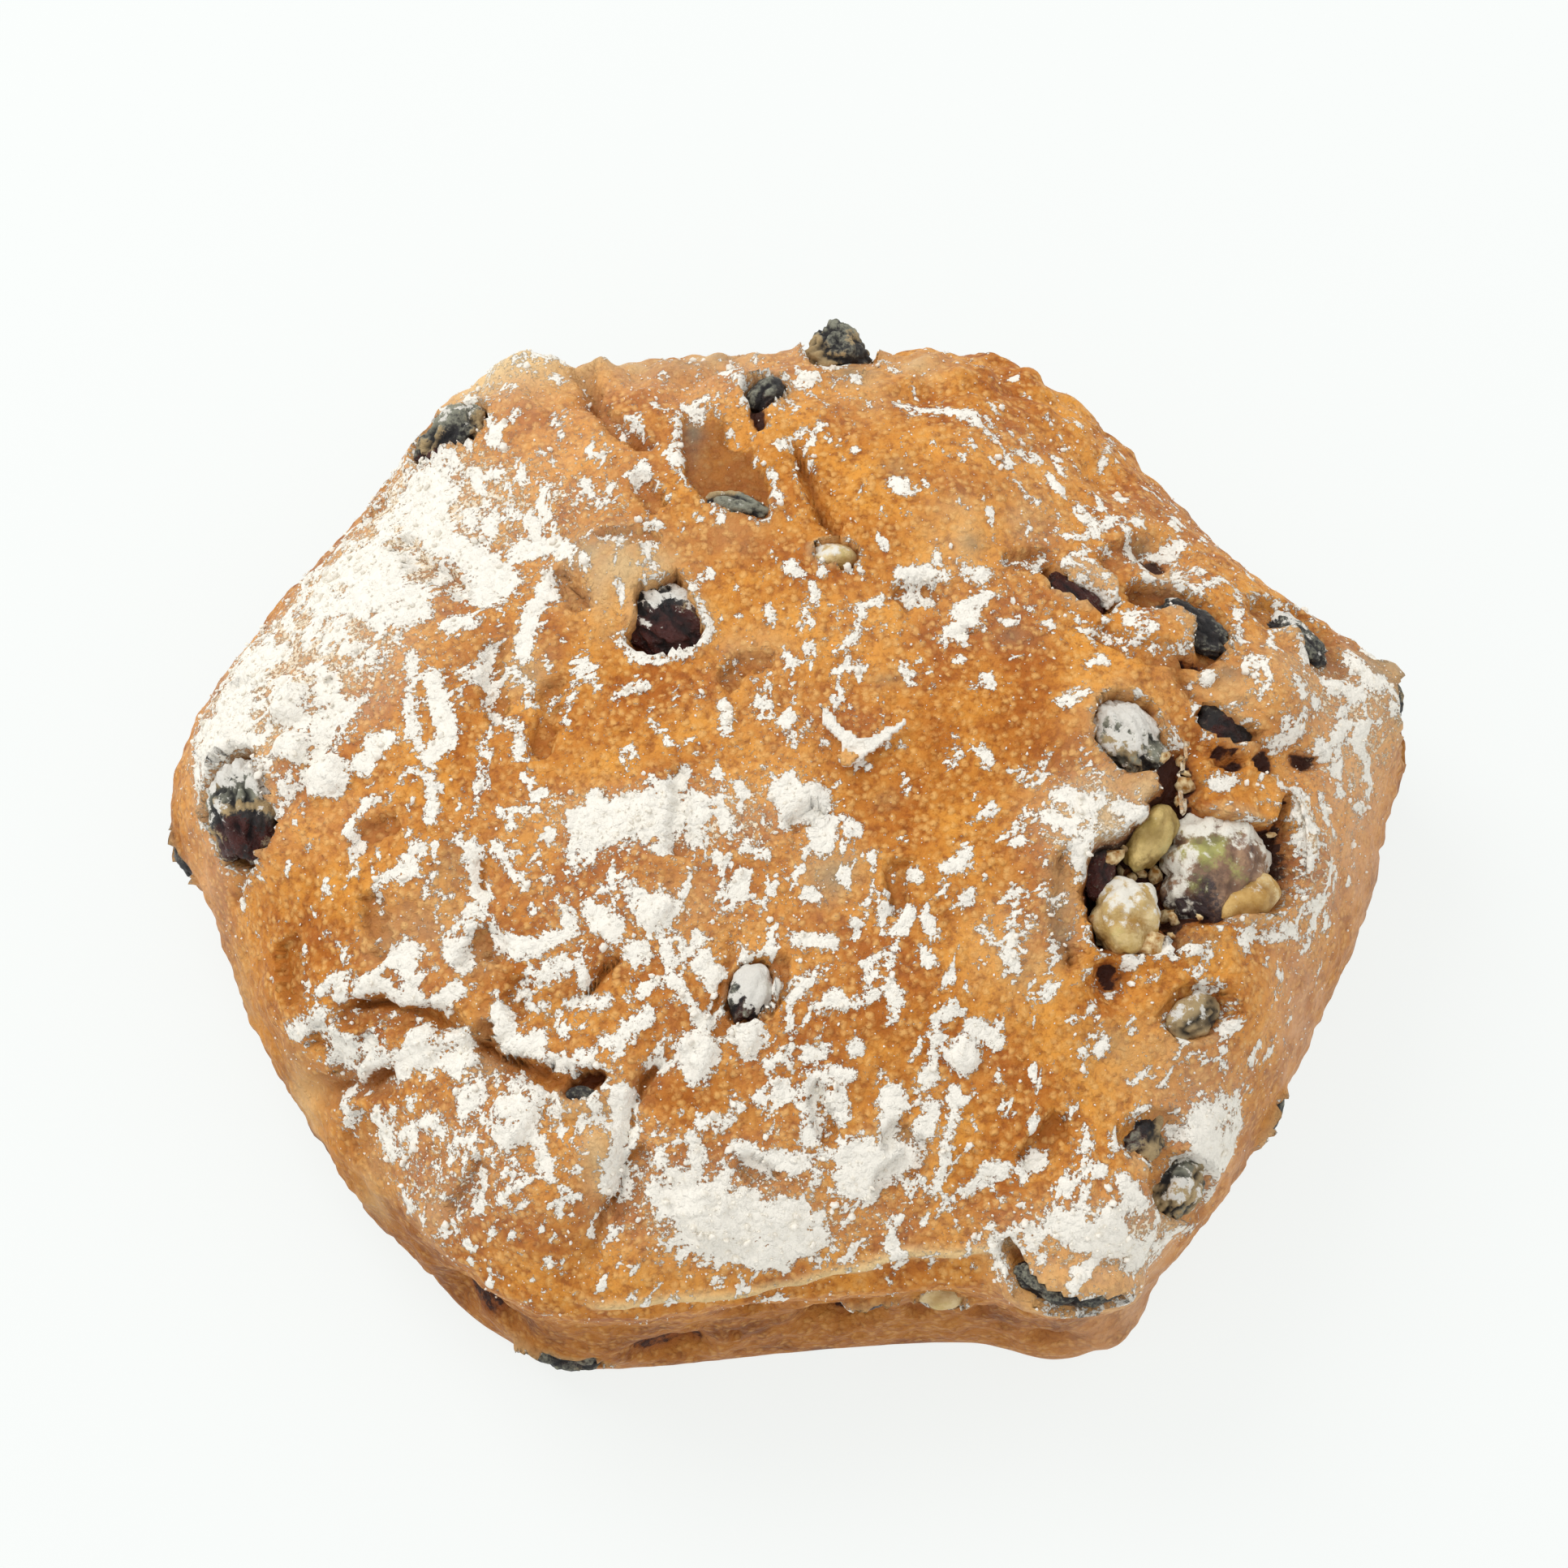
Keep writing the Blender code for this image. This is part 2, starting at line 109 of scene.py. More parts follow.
RIM = smooth_curve(OUTLINE, closed=True)
RIM_ANGLE, RIM_REACH = np.arctan2(RIM[:, 1], RIM[:, 0]), np.hypot(RIM[:, 0], RIM[:, 1])
RIM_ORDER = np.argsort(RIM_ANGLE)
REACH = float(RIM_REACH.mean())
ROUND_WAY, ROUND_CURVE = by_length(smooth_curve(ROUND_SIDE) * (REACH, 1))
FLAT_WAY, FLAT_CURVE = by_length(smooth_curve(FLAT_FRONT) * (REACH, 1))
print("outline reaches", RIM_REACH.min().round(1), "to", RIM_REACH.max().round(1), "mm")


# %% A point of the form
def form(way, angle):
    """Points at a share of the way down the meridian, at an angle round the bun. Past 1, the way
    goes back under the bun, to its middle at 2."""
    way, angle = np.atleast_1d(way), np.atleast_1d(angle)
    reach = np.interp(angle, RIM_ANGLE[RIM_ORDER], RIM_REACH[RIM_ORDER], period=2 * math.pi)
    turn = np.degrees(angle)
    flat = smoothstep(FRONT_FROM - FRONT_FADE, FRONT_FROM + FRONT_FADE, turn)
    flat = flat * (1 - smoothstep(FRONT_TO - FRONT_FADE, FRONT_TO + FRONT_FADE, turn))
    share, height = (
        (1 - flat) * np.interp(way, ROUND_WAY, ROUND_CURVE[:, i])
        + flat * np.interp(way, FLAT_WAY, FLAT_CURVE[:, i])
        for i in range(2)
    )
    out = reach * share / REACH * np.clip(2 - way, 0, 1)
    return np.stack([out * np.cos(angle), out * np.sin(angle), height], axis=1)


def crust_at(x, y, z=None):
    """The point of the form over a place in plan, or beside it at a height, and its normal."""
    angle = math.atan2(y, x)
    small = 0.01
    ways = np.arange(small, 1 - small, small / 4)
    points = form(ways, np.full(len(ways), angle))
    if z is None:
        out = np.hypot(points[:, 0], points[:, 1])
        nearest = int(np.argmin(np.where(points[:, 2] > BELLY, abs(out - math.hypot(x, y)), np.inf)))
    else:
        nearest = int(np.argmin(abs(points[:, 2] - z)))
    way = ways[nearest]
    down = form(way + small, angle)[0] - form(way - small, angle)[0]
    sideways = form(way, angle + small)[0] - form(way, angle - small)[0]
    return Vector(points[nearest]), Vector(np.cross(down, sideways)).normalized()


# %% [markdown]
# ## What lies in the dough
#
# Each raisin and kernel keeps the place, size and turn that its solid has. The last four numbers say
# how it looks: how much dull bloom, wet torn flesh, olive dough film and flour there is on it.

# %% Raisins and nuts
Piece = namedtuple("Piece", "name x y z length width thickness turn sunk bloom wet olive flour")
RAISINS = [
    Piece("raisin_left", -50.8, -0.8, None, 11.5, 9.5, 8.5, 78, 1, 0.9, 0.25, 0.5, 0.65),
    Piece("raisin_corner", -32.2, 38, None, 9.5, 7.8, 7.4, 40, 0.9, 0.5, 0.4, 0.35, 0.4),
    Piece("raisin_tear", -10.8, 15.2, None, 11.5, 8.5, 7.5, -38, 2.2, 0.3, 0.8, 0.2, 0.5),
    Piece("raisin_peak", 5.2, 48.6, None, 8.4, 7, 9, 20, -0.6, 0.35, 0.2, 0.6, 0.15),
    Piece("raisin_back", -1.6, 41, None, 5.5, 4.2, 4.4, 65, 0.2, 0.3, 0.3, 0.2, 0.5),
    Piece("raisin_pocket", -4.4, 27.6, None, 9, 4.4, 4.6, -12, 2, 0.7, 0.2, 0.4, 0.6),
    Piece("raisin_red", 27.2, 18.6, None, 7.5, 4.4, 4.6, -35, 1.3, 0, 1, 0.1, 0.2),
    Piece("raisin_hook", 38.4, 15.8, None, 9.5, 5.4, 5.4, -42, 1.1, 0.2, 0.3, 0, 0.35),
    Piece("raisin_slit", 41.3, 5.4, None, 8, 5, 4.6, -36, 1.9, 0, 0.7, 0, 0),
    Piece("raisin_slope", 48.7, 16.5, None, 8.5, 5.4, 5, -42, 1.4, 0.2, 0.2, 0, 0.85),
    Piece("raisin_right", 58, 12.6, None, 7.4, 6.2, 6.5, -65, 1.4, 0.3, 0.4, 0.8, 0.2),
    Piece("raisin_grey", 31.5, 3.8, None, 9.5, 7.4, 6.6, -48, 1.3, 1, 0.3, 0.15, 0.9),
    Piece("raisin_cave", 29, -9, None, 6, 3.8, 4.4, 75, 2.4, 0, 1, 0.2, 0.05),
    Piece("raisin_flat", 37.1, -21.9, None, 7, 4.9, 3.4, 25, 0.5, 0.2, 0.6, 0.2, 0.45),
    Piece("raisin_low", 32.4, -33.2, None, 7.6, 6, 5.4, 60, 1.6, 0.35, 0.8, 0.55, 0.35),
    Piece("raisin_low_grey", 35.6, -36.2, None, 9, 6.6, 6.2, 30, 0.4, 0.8, 0.2, 0.5, 0.75),
    Piece("raisin_front", 24.6, -44.8, 26, 11.5, 5.4, 5.4, -8, 0.4, 0.3, 0.5, 0.3, 0.2),
    Piece("raisin_edge_right", 46.5, -26.9, 14, 6.4, 4.2, 4.4, 60, 1, 0.3, 0.4, 0.2, 0.1),
    Piece("raisin_edge_left", -60, 0.5, 13, 6.4, 4.4, 4.2, 100, 1, 0.3, 0.3, 0.4, 0.1),
    Piece("raisin_base", -21, -47.5, 5.2, 9.4, 4.2, 5, -6, 0.8, 0.3, 0.3, 0.5, 0.1),
    Piece("raisin_crack", -18.2, -31, None, 4.6, 3.4, 3.6, -10, 0.6, 0.1, 0.3, 0.1, 0.2),
    Piece("raisin_floured", -3, -21.5, None, 6.2, 5, 4.4, 60, 0.9, 0.3, 0.4, 0.2, 0.8),
    Piece("raisin_side", 8.2, -45.5, 15.6, 5.6, 3.4, 3.8, -4, 1, 0.2, 0.6, 0.4, 0.1),
]
NUTS = [
    Piece("nut_walnut", 40.8, -7.4, None, 13.4, 11.4, 9.6, 75, 3, 0, 0.4, 0.2, 0.8),
    Piece("nut_peeled", 43, -10.6, None, 7.6, 5, 4.6, 25, 0.8, 0, 0.2, 0.7, 0.5),
    Piece("nut_upper", 33.9, -5.6, None, 8.4, 4.4, 5, 58, 1.8, 0, 0.5, 0.6, 0.25),
    Piece("nut_lower", 31.5, -13.4, None, 8.4, 7.4, 6.6, 75, 1.6, 0, 0.35, 0.5, 0.6),
    Piece("nut_side", 15, -45.2, 15, 6, 3.4, 4, 4, 1, 0, 0.2, 0.6, 0.1),
    Piece("nut_seed", 4.6, 21.6, None, 5.4, 3.4, 3.4, -6, 0.7, 0, 0.6, 0.6, 0.6),
]
POINTED = {"raisin_peak": 0.5}  # how much narrower a piece is at its top


def seat(piece):
    """Where a piece sits in the plan: its middle under the crust, turned along the crust."""
    point, normal = crust_at(piece.x, piece.y, piece.z)
    turn = math.radians(piece.turn)
    along = Vector((math.cos(turn), math.sin(turn), 0))
    along = (along - normal * along.dot(normal)).normalized()
    turned = Matrix((along, normal.cross(along), normal)).transposed().to_4x4()
    return Matrix.Translation(point - normal * piece.sunk) @ turned


SEATS = {piece.name: seat(piece) for piece in RAISINS + NUTS}
print(len(SEATS), "pieces lie in the dough")

# %% [markdown]
# ## Lumps, pits and cracks
#
# The crust is lifted where fruit pushes it up and sunk where it tore. Each lump is a smooth bump with
# a middle, a reach and a height; each crack is a route across the top, with a half width and a depth.

# %% Relief that the solid bun has too
LUMPS = [  # x, y, z of the middle, reach, height
    (-15.6, 20.2, 36.5, 6.4, 2.6), (-50, -1, 29, 9, 1.3), (-33, 37.5, 28, 8, 1.3),
    (4.6, 46.5, 26, 8.5, 2.4), (34.2, 12.6, 34, 5.6, 1.9), (45.5, 9, 32, 6, 2.2),
    (57, 11, 23, 8, 1.6), (30, 5, 35.8, 6.5, 1.5), (26.5, -6, 36, 7, 1.3), (50, -6, 29, 6, 1.5),
    (40, -20, 30, 9, 1), (29, -39, 28, 9, 2.4), (37, -34, 24, 8, 1.6), (-24, -39, 31, 9, 1.8),
    (-16.6, -34.8, 33, 3.6, 1.4), (-37, 17, 33, 12, 1.2), (-8, 0, 37.5, 15, 0.9),
    (16, 30, 35, 12, 1.3), (9, -16, 36.5, 16, 0.9), (-46, -20, 25, 9, 1.2), (-4, 42, 32, 6, 1.5),
    (-27, 47, 26, 7, 1.5), (-6, 35, 34, 5.5, -2.4), (-3.5, 29, 35.4, 5, -1.6),
    (-18.8, 42.5, 31.5, 4, -1.8), (35.7, 23.6, 31.5, 4.2, -2.4), (31.5, 33.5, 30.5, 4.5, -1.6),
    (38.4, 2.6, 34.3, 3.4, -1.6), (47.5, 3, 31.2, 3.8, -1.8), (29.6, -19.6, 34, 3.4, -2.4),
    (-32, -15, 34, 5, -1.1), (-25.5, 8, 36, 5, -0.9), (5.2, -45.5, 10.7, 6, -2.6),
    (-3, -46, 16.6, 3.6, -2.2), (-10.8, -46, 6.6, 5.5, -1.9), (25.5, -45, 6.5, 4, -1.6),
    (-28.5, -43, 8, 7, -2.4), (31, -43, 3.5, 6, 1.4), (14, -45, 20, 6, -0.9),
]
CRACKS = [  # route in plan, half width, depth
    ([(-7.7, -26), (-12, -29), (-14.1, -35.2), (-16, -40.1), (-16.8, -43.4)], 2.2, 2.3),
    ([(-44.8, -25.3), (-39.1, -26.8), (-31.5, -26), (-27, -25.5), (-19.2, -29.8)], 1.8, 1.9),
    ([(-39.7, -20.1), (-34.2, -21.7), (-27, -25.5)], 1.7, 1.5),
    ([(-27.7, -8.5), (-26.8, -13.1), (-27.2, -20), (-27, -25.5)], 1.7, 1.5),
    ([(-27, -25.5), (-19.3, -22.4), (-15, -18.1)], 1.6, 1.4),
    ([(-4.8, -16.7), (-5.5, -20.4), (-7.7, -26)], 1.6, 1.2),
    ([(-42.8, 2.7), (-46.2, -2), (-52, -7.4)], 1.8, 1.6),
    ([(-19.6, 45.6), (-17.6, 39), (-13.2, 34.5)], 1.8, 1.1),
    ([(1.5, 34), (2.8, 29), (4, 24.8)], 1.8, 2.2),
    ([(36.4, 10.3), (38.6, 7.2), (45, 3.4)], 1.8, 2),
    ([(25.6, -9.5), (25.3, -14.8), (25.8, -18.4)], 1.7, 1.6),
]
DOUGH_SCALES = [(26, 0.9), (9, 0.45)]  # width and height of the dough's unevenness


def way_to(points, route, furthest=9.0, closed=False):
    """Distance from each point to a route, where it is nearer than the furthest. A route of x and y
    is measured in plan."""
    curve = smooth_curve(route, closed, steps=6)
    if closed:
        curve = np.vstack([curve, curve[:1]])
    away = np.full(len(points), furthest)
    points = points[:, :curve.shape[1]]
    near = np.all((points > curve.min(0) - furthest) & (points < curve.max(0) + furthest), axis=1)
    close, best = points[near], away[near]
    for start, end in zip(curve[:-1], curve[1:]):
        along = end - start
        t = np.clip((close - start) @ along / (along @ along + 1e-9), 0, 1)
        best = np.minimum(best, np.linalg.norm(close - start - t[:, None] * along, axis=1))
    away[near] = best
    return away


def rough(points, width, seed=0.0):
    """Smooth noise of about -1 to 1, with bumps about as wide as the width in millimetres."""
    shift = Vector((seed, 1.7 * seed, 2.3 * seed))
    return np.array([noise.noise(Vector(p) / width + shift) for p in points])


def lump_lift(points):
    lift = np.zeros(len(points))
    for x, y, z, reach, height in LUMPS:
        away = np.linalg.norm(points - (x, y, z), axis=1) / reach
        lift += height * np.clip(1 - away ** 2, 0, None) ** 2
    return lift


def crack_lift(points):
    lift, uneven = np.zeros(len(points)), rough(points, 4.5, 12)
    for route, width, depth in CRACKS:
        way = way_to(points, route) / width
        torn = np.clip(0.5 + 1.2 * uneven, 0, 1.2)
        valley, groove = 0.25 * np.exp(-way ** 2), 0.85 * torn * np.exp(-(way / 0.26) ** 2)
        lift = np.minimum(lift, -depth * (valley + groove))
    return lift * smoothstep(BELLY, CREASE, points[:, 2])


def dough_lift(points):
    lift = np.zeros(len(points))
    for width, height in DOUGH_SCALES:
        shift = Vector((DOUGH_SEED, DOUGH_SEED, width))
        lift += [height * noise.noise(Vector(p) / width + shift) for p in points]
    return lift


# %% [markdown]
# ## Tears and holes
#
# Where a kernel or raisin burst the skin, the crust ends at a thin ragged edge and drops steeply.
# Each tear is an outline with a depth. The signed distance to it is negative inside.

# %% Tears
CAVE = [
    (34.2, 2.8), (35.9, 2.7), (37.2, 2.7), (38.2, 1.1), (38.4, -0.8), (37.8, -2.2), (39.6, -3.6),
    (42.4, -3.6), (45.3, -3), (46.2, -1), (46.8, -2.4), (47, -7.3), (46.4, -9.7), (45.7, -10.7),
    (42.8, -11.7), (39.3, -13.4), (36.9, -14.1), (35.9, -16.8), (35.2, -15.9), (34.3, -14.9),
    (33.9, -16.4), (31.7, -17), (28.3, -16.9), (27.8, -15.7), (27.3, -13.2), (27.1, -10.9),
    (27.5, -8.8), (28.5, -6.9), (30.7, -5.9), (32.7, -4.5), (33.3, -2.2), (34.6, -1.2), (33.9, 1.4),
]
TEAR = [
    (-9.7, 19.6), (-8.9, 17.1), (-8.1, 14.7), (-7.6, 13.2), (-8.8, 11.9), (-11.6, 11.2),
    (-13, 11.3), (-14.5, 12.8), (-13.3, 15.1), (-13.8, 17), (-12.4, 17.9), (-11.2, 18.6), (-10.3, 19.4),
]
POCKET = [
    (-9.6, 38.7), (-7.8, 39.2), (-5.9, 37.6), (-5.7, 36), (-4.4, 34.6), (-3, 34.1), (-2.8, 32.1),
    (-1.8, 31.5), (-1.4, 28.7), (-1.3, 26.6), (-2.3, 25.7), (-3.5, 26), (-6.1, 26.9), (-8.4, 28.8),
    (-9.1, 30.7), (-9.6, 33.2), (-9.7, 36.1),
]
SLIT = [(38.1, 6.6), (39.6, 7), (41, 6.2), (43.8, 4.9), (43.9, 4.5), (42.1, 3.9), (40.4, 4.2), (39, 5.2)]
FLAT = [(33.7, -22.6), (35.6, -20), (38.7, -18.9), (40.3, -20.6), (38.9, -22.9), (35.9, -24.2)]
LOW = [(29.6, -33.5), (31.7, -30.9), (34.9, -30.3), (35.4, -32), (33.6, -35.2), (31.7, -34.6)]
TIP = [(57.2, 11.6), (57.8, 14.4), (60.4, 15.6), (62, 13), (61.6, 9.4), (58.6, 9.4)]


def oval(x, y, long, short, turn=0):
    """An oval outline about a place, with a long and a short half size."""
    angles = np.radians(np.arange(0, 360, 45))
    turn = math.radians(turn)
    out, across = long * np.cos(angles), short * np.sin(angles)
    return np.stack([x + out * math.cos(turn) - across * math.sin(turn),
                     y + out * math.sin(turn) + across * math.cos(turn)], axis=1)


TEARS = [  # outline, depth, width of the wall, flour on the lip in mm
    (CAVE, 4.4, 1.7, 0.45), (POCKET, 1.0, 0.6, 0.45),
    (oval(41.2, 2.3, 1.7, 1.2, -12), 2, 0.5, 0), (oval(44.7, 2.5, 1.3, 1.1), 1.8, 0.5, 0),
    (oval(48.8, 3.5, 1.3, 1.1, 10), 1.8, 0.5, 0), (oval(29.7, -18.9, 1.7, 1.3, -20), 2.2, 0.7, 0.2),
    (oval(-2.4, 37.7, 1.6, 0.8, 100), 1.8, 0.6, 0.3), (oval(35.4, 23.6, 1.9, 0.8, 12), 1.8, 0.6, 0.3),
    (oval(5, 24.3, 0.6, 0.5), 1.2, 0.5, 0), (oval(-19.2, 18, 2.6, 0.5, -58), 1, 0.5, 0.2),
    (oval(24.9, -12.5, 5, 0.9, 88), 0.7, 0.7, 0.1), (oval(2.3, 30, 2.6, 0.7, 105), 0.8, 0.6, 0.3),
    (oval(46.4, -1.6, 0.5, 1.4), 4, 0.5, 0), (oval(28.2, 18.4, 2.9, 0.8, -32), 1.2, 0.5, 0.3),
    (oval(-38.9, 34.5, 2.2, 0.5, 78), 0.8, 0.5, 0.2), (oval(16.8, 13.6, 1.2, 0.35, 10), 0.7, 0.4, 0.3),
    (oval(38.3, 11.2, 1.8, 0.7, -12), 1.6, 0.5, 0),
]
OPENINGS = {  # outline of the torn skin over a piece, depth of the gap beside it, flour on the lip
    "raisin_tear": (TEAR, 2.2, 0.65), "raisin_slit": (SLIT, 3, 0.2), "raisin_pocket": (POCKET, 1, 0),
    "raisin_flat": (FLAT, 0.5, 0), "raisin_low": (LOW, 0.4, 0.1), "raisin_right": (TIP, 1, 0),
    "raisin_crack": (oval(-17.7, -29.3, 1.8, 0.9, 20), 2, 0.3),
    "raisin_peak": (oval(5.6, 47.2, 3.9, 4.3), 0, 0.3),
    "raisin_floured": (oval(-3, -21.2, 3, 2, 68), 1.2, 0),
    "raisin_low_grey": (oval(35.4, -36, 4, 2.4, 24), 0.3, 0.2),
    "nut_walnut": (CAVE, 1, 0), "nut_upper": (CAVE, 1, 0), "nut_lower": (CAVE, 1, 0),
    "nut_peeled": (CAVE, 1, 0), "raisin_cave": (CAVE, 1, 0),
}
STRIPS = {  # route along which a piece shows, half width, depth of the gap beside it, flour on the lip
    "raisin_red": ([(24.8, 20.6), (26.1, 18.9), (28.2, 18), (30, 17)], 0.8, 1.6, 0.3),
    "raisin_hook": ([(33.6, 18.4), (36.8, 18.2), (39.2, 16.8), (39.9, 14.9), (39.4, 12.9)], 1.5, 1.2, 0.25),
    "raisin_front": ([(19.9, -42.3, 27.9), (21.4, -44, 26.6), (23.6, -45.2, 25.8), (26.5, -45.9, 25.1),
                      (29.3, -45.5, 24.3)], 0.65, 1, 0.45),
    "raisin_slope": ([(45.9, 18.6), (48.4, 18.2), (50.2, 16.4), (51.4, 14)], 2.1, 0.8, 0.25),
}


def inside(points, loop):
    """Whether each point in plan lies inside a closed loop."""
    x, y = points[:, 0], points[:, 1]
    hit = np.zeros(len(points), bool)
    for (x0, y0), (x1, y1) in zip(loop, np.roll(loop, -1, axis=0)):
        if y0 != y1:
            hit ^= ((y0 > y) != (y1 > y)) & (x < (x1 - x0) * (y - y0) / (y1 - y0) + x0)
    return hit


def from_edge(points, outline):
    """Signed distance in plan to an outline, negative inside it."""
    away = way_to(points, outline, closed=True)
    return np.where(inside(points, smooth_curve(outline, True, steps=6)), -away, away)


# %% [markdown]
# ## A chart wrapped over the form
#
# A flat disc of small squares, with rings round it for the side, is wrapped over the form. Squares
# bent into a disc keep an even size everywhere, which a sphere's poles would not. A cell is less than
# half a millimetre wide, fine enough for cracks and flour edges.

# %% Make the chart
TOP_CELLS, TOP_SHARE, SIDE_RINGS, UNDER_RINGS = 190, 0.62, 60, 8


def bend_square(mesh, size):
    """Bend a square grid into a disc, its square rings into round ones."""
    for vert in mesh.verts:
        x, y = vert.co.x, vert.co.y
        ring = max(abs(x), abs(y))
        if ring < 1e-9:
            continue
        if abs(x) >= abs(y):
            angle = math.pi / 4 * y / x + (0 if x > 0 else math.pi)
        else:
            angle = math.pi / 2 * (1 if y > 0 else -1) - math.pi / 4 * x / y
        vert.co = Vector((math.cos(angle), math.sin(angle), 0)) * ring * size


def grow_rings(mesh, rim, start, end, count):
    """Extrude the rim outwards in even rings, and return the last rim."""
    for ring in range(count):
        inner, outer = (start + (end - start) * (ring + i) / count for i in (0, 1))
        grown = bmesh.ops.extrude_edge_only(mesh, edges=rim)["geom"]
        verts = [item for item in grown if isinstance(item, bmesh.types.BMVert)]
        bmesh.ops.scale(mesh, verts=verts, vec=(outer / inner, outer / inner, 1))
        rim = [item for item in grown if isinstance(item, bmesh.types.BMEdge) and item.is_boundary]
    return rim


def to_data(mesh, name):
    """Turn a worked mesh into finished data."""
    data = bpy.data.meshes.new(name)
    mesh.to_mesh(data)
    mesh.free()
    return data


def make_chart():
    mesh = bmesh.new()
    bmesh.ops.create_grid(mesh, x_segments=TOP_CELLS, y_segments=TOP_CELLS, size=1)
    bend_square(mesh, TOP_SHARE)
    rim = [edge for edge in mesh.edges if edge.is_boundary]
    rim = grow_rings(mesh, rim, TOP_SHARE, 1, SIDE_RINGS)
    rim = grow_rings(mesh, rim, 1, 1.94, UNDER_RINGS)
    bmesh.ops.contextual_create(mesh, geom=rim)
    return to_data(mesh, "bun_crust")


def read_points(data, what="co"):
    values = np.zeros(len(data.vertices) * 3, np.float32)
    data.vertices.foreach_get(what, values)
    return values.reshape(-1, 3).astype(float)


def write_points(data, points):
    data.vertices.foreach_set("co", points.astype(np.float32).ravel())
    data.update()


crust_mesh = make_chart()
flat = read_points(crust_mesh)
POINTS = form(np.hypot(flat[:, 0], flat[:, 1]), np.arctan2(flat[:, 1], flat[:, 0]))
write_points(crust_mesh, POINTS)
NORMALS = read_points(crust_mesh, "normal")
ON_TOP = smoothstep(BELLY, CREASE, POINTS[:, 2])
UNDER = np.hypot(flat[:, 0], flat[:, 1]) > 1.0001
print(len(POINTS), "points on the chart")

# %% [markdown]
# ## Flour on the crust
#
# The dough was dusted before it rose. As it swelled, the dry layer split into islands, and rubbing
# left a thin veil between them. Three things are kept for every point: the veil, the distance to the
# edge of the nearest island in millimetres (above nought on it), and how bare a crack or tear is.

# %% Flour that lies at listed places
VEILS = [  # x, y, reach along x, reach along y, strength
    (-41, 20, 9, 11, 0.9), (-31, 28, 8, 8, 0.75), (-46, 8, 6, 7, 0.75), (-54, 6, 4, 8, 0.75),
    (-52, 16, 6, 6, 0.8), (-20, 27, 8, 6, 0.4), (-37, 8, 7, 6, 0.35), (-28, 2, 7, 7, 0.2),
    (-14, -5, 8, 2.8, 0.97), (-41, -31, 5, 7, 0.95), (-4, -5, 5, 3, 0.55), (-25, -15, 12, 9, 0.5),
    (-37, -25, 8, 9, 0.65), (-22, -32, 12, 9, 0.62), (-33, -36, 8, 6, 0.6), (-5, -39.5, 9, 4.6, 0.88),
    (3, -36, 8, 5, 0.6), (28.6, -41, 5.6, 2.8, 0.9), (33, -38, 4, 2.4, 0.35), (39, -33, 5, 6, 0.75),
    (-9, -16, 12, 8, 0.38), (8, -17, 12, 9, 0.2), (-2, -28, 12, 8, 0.42), (14, -28, 8, 8, 0.2),
    (-15, -34, 5, 7, 0.5), (1.5, -3, 5, 6, 0.4), (7, 3, 4, 3, 0.3), (57, 4, 5, 9, 0.65),
    (50, -10, 5, 8, 0.62), (27, -2, 4, 4, 0.5), (28.5, -5.5, 5, 4, 0.7), (47, 10, 8, 8, 0.42),
    (53, 10, 5, 5, 0.3), (22, 34, 8, 5, 0.36), (-3, 42, 10, 5, 0.45), (-25, 42, 8, 5, 0.25),
    (-30, 46, 6, 3, 0.6), (35, 26, 8, 8, 0.36), (20, 17, 8, 7, 0.34), (6, 14, 9, 7, 0.24),
    (-6, 6, 9, 6, 0.26), (-46, -12, 5, 8, 0.3), (-36, 30, 5, 6, 0.75), (-14, 33, 7, 6, 0.14),
    (44, -24, 8, 8, 0.36), (22, -13, 4, 8, 0.2), (21, -41.4, 5, 2, 0.5), (-22, 12, 6, 8, 0.32),
    (-55, -6, 4, 6, 0.4), (10, -40, 10, 3, 0.4), (26, -32, 7, 6, 0.3),
]
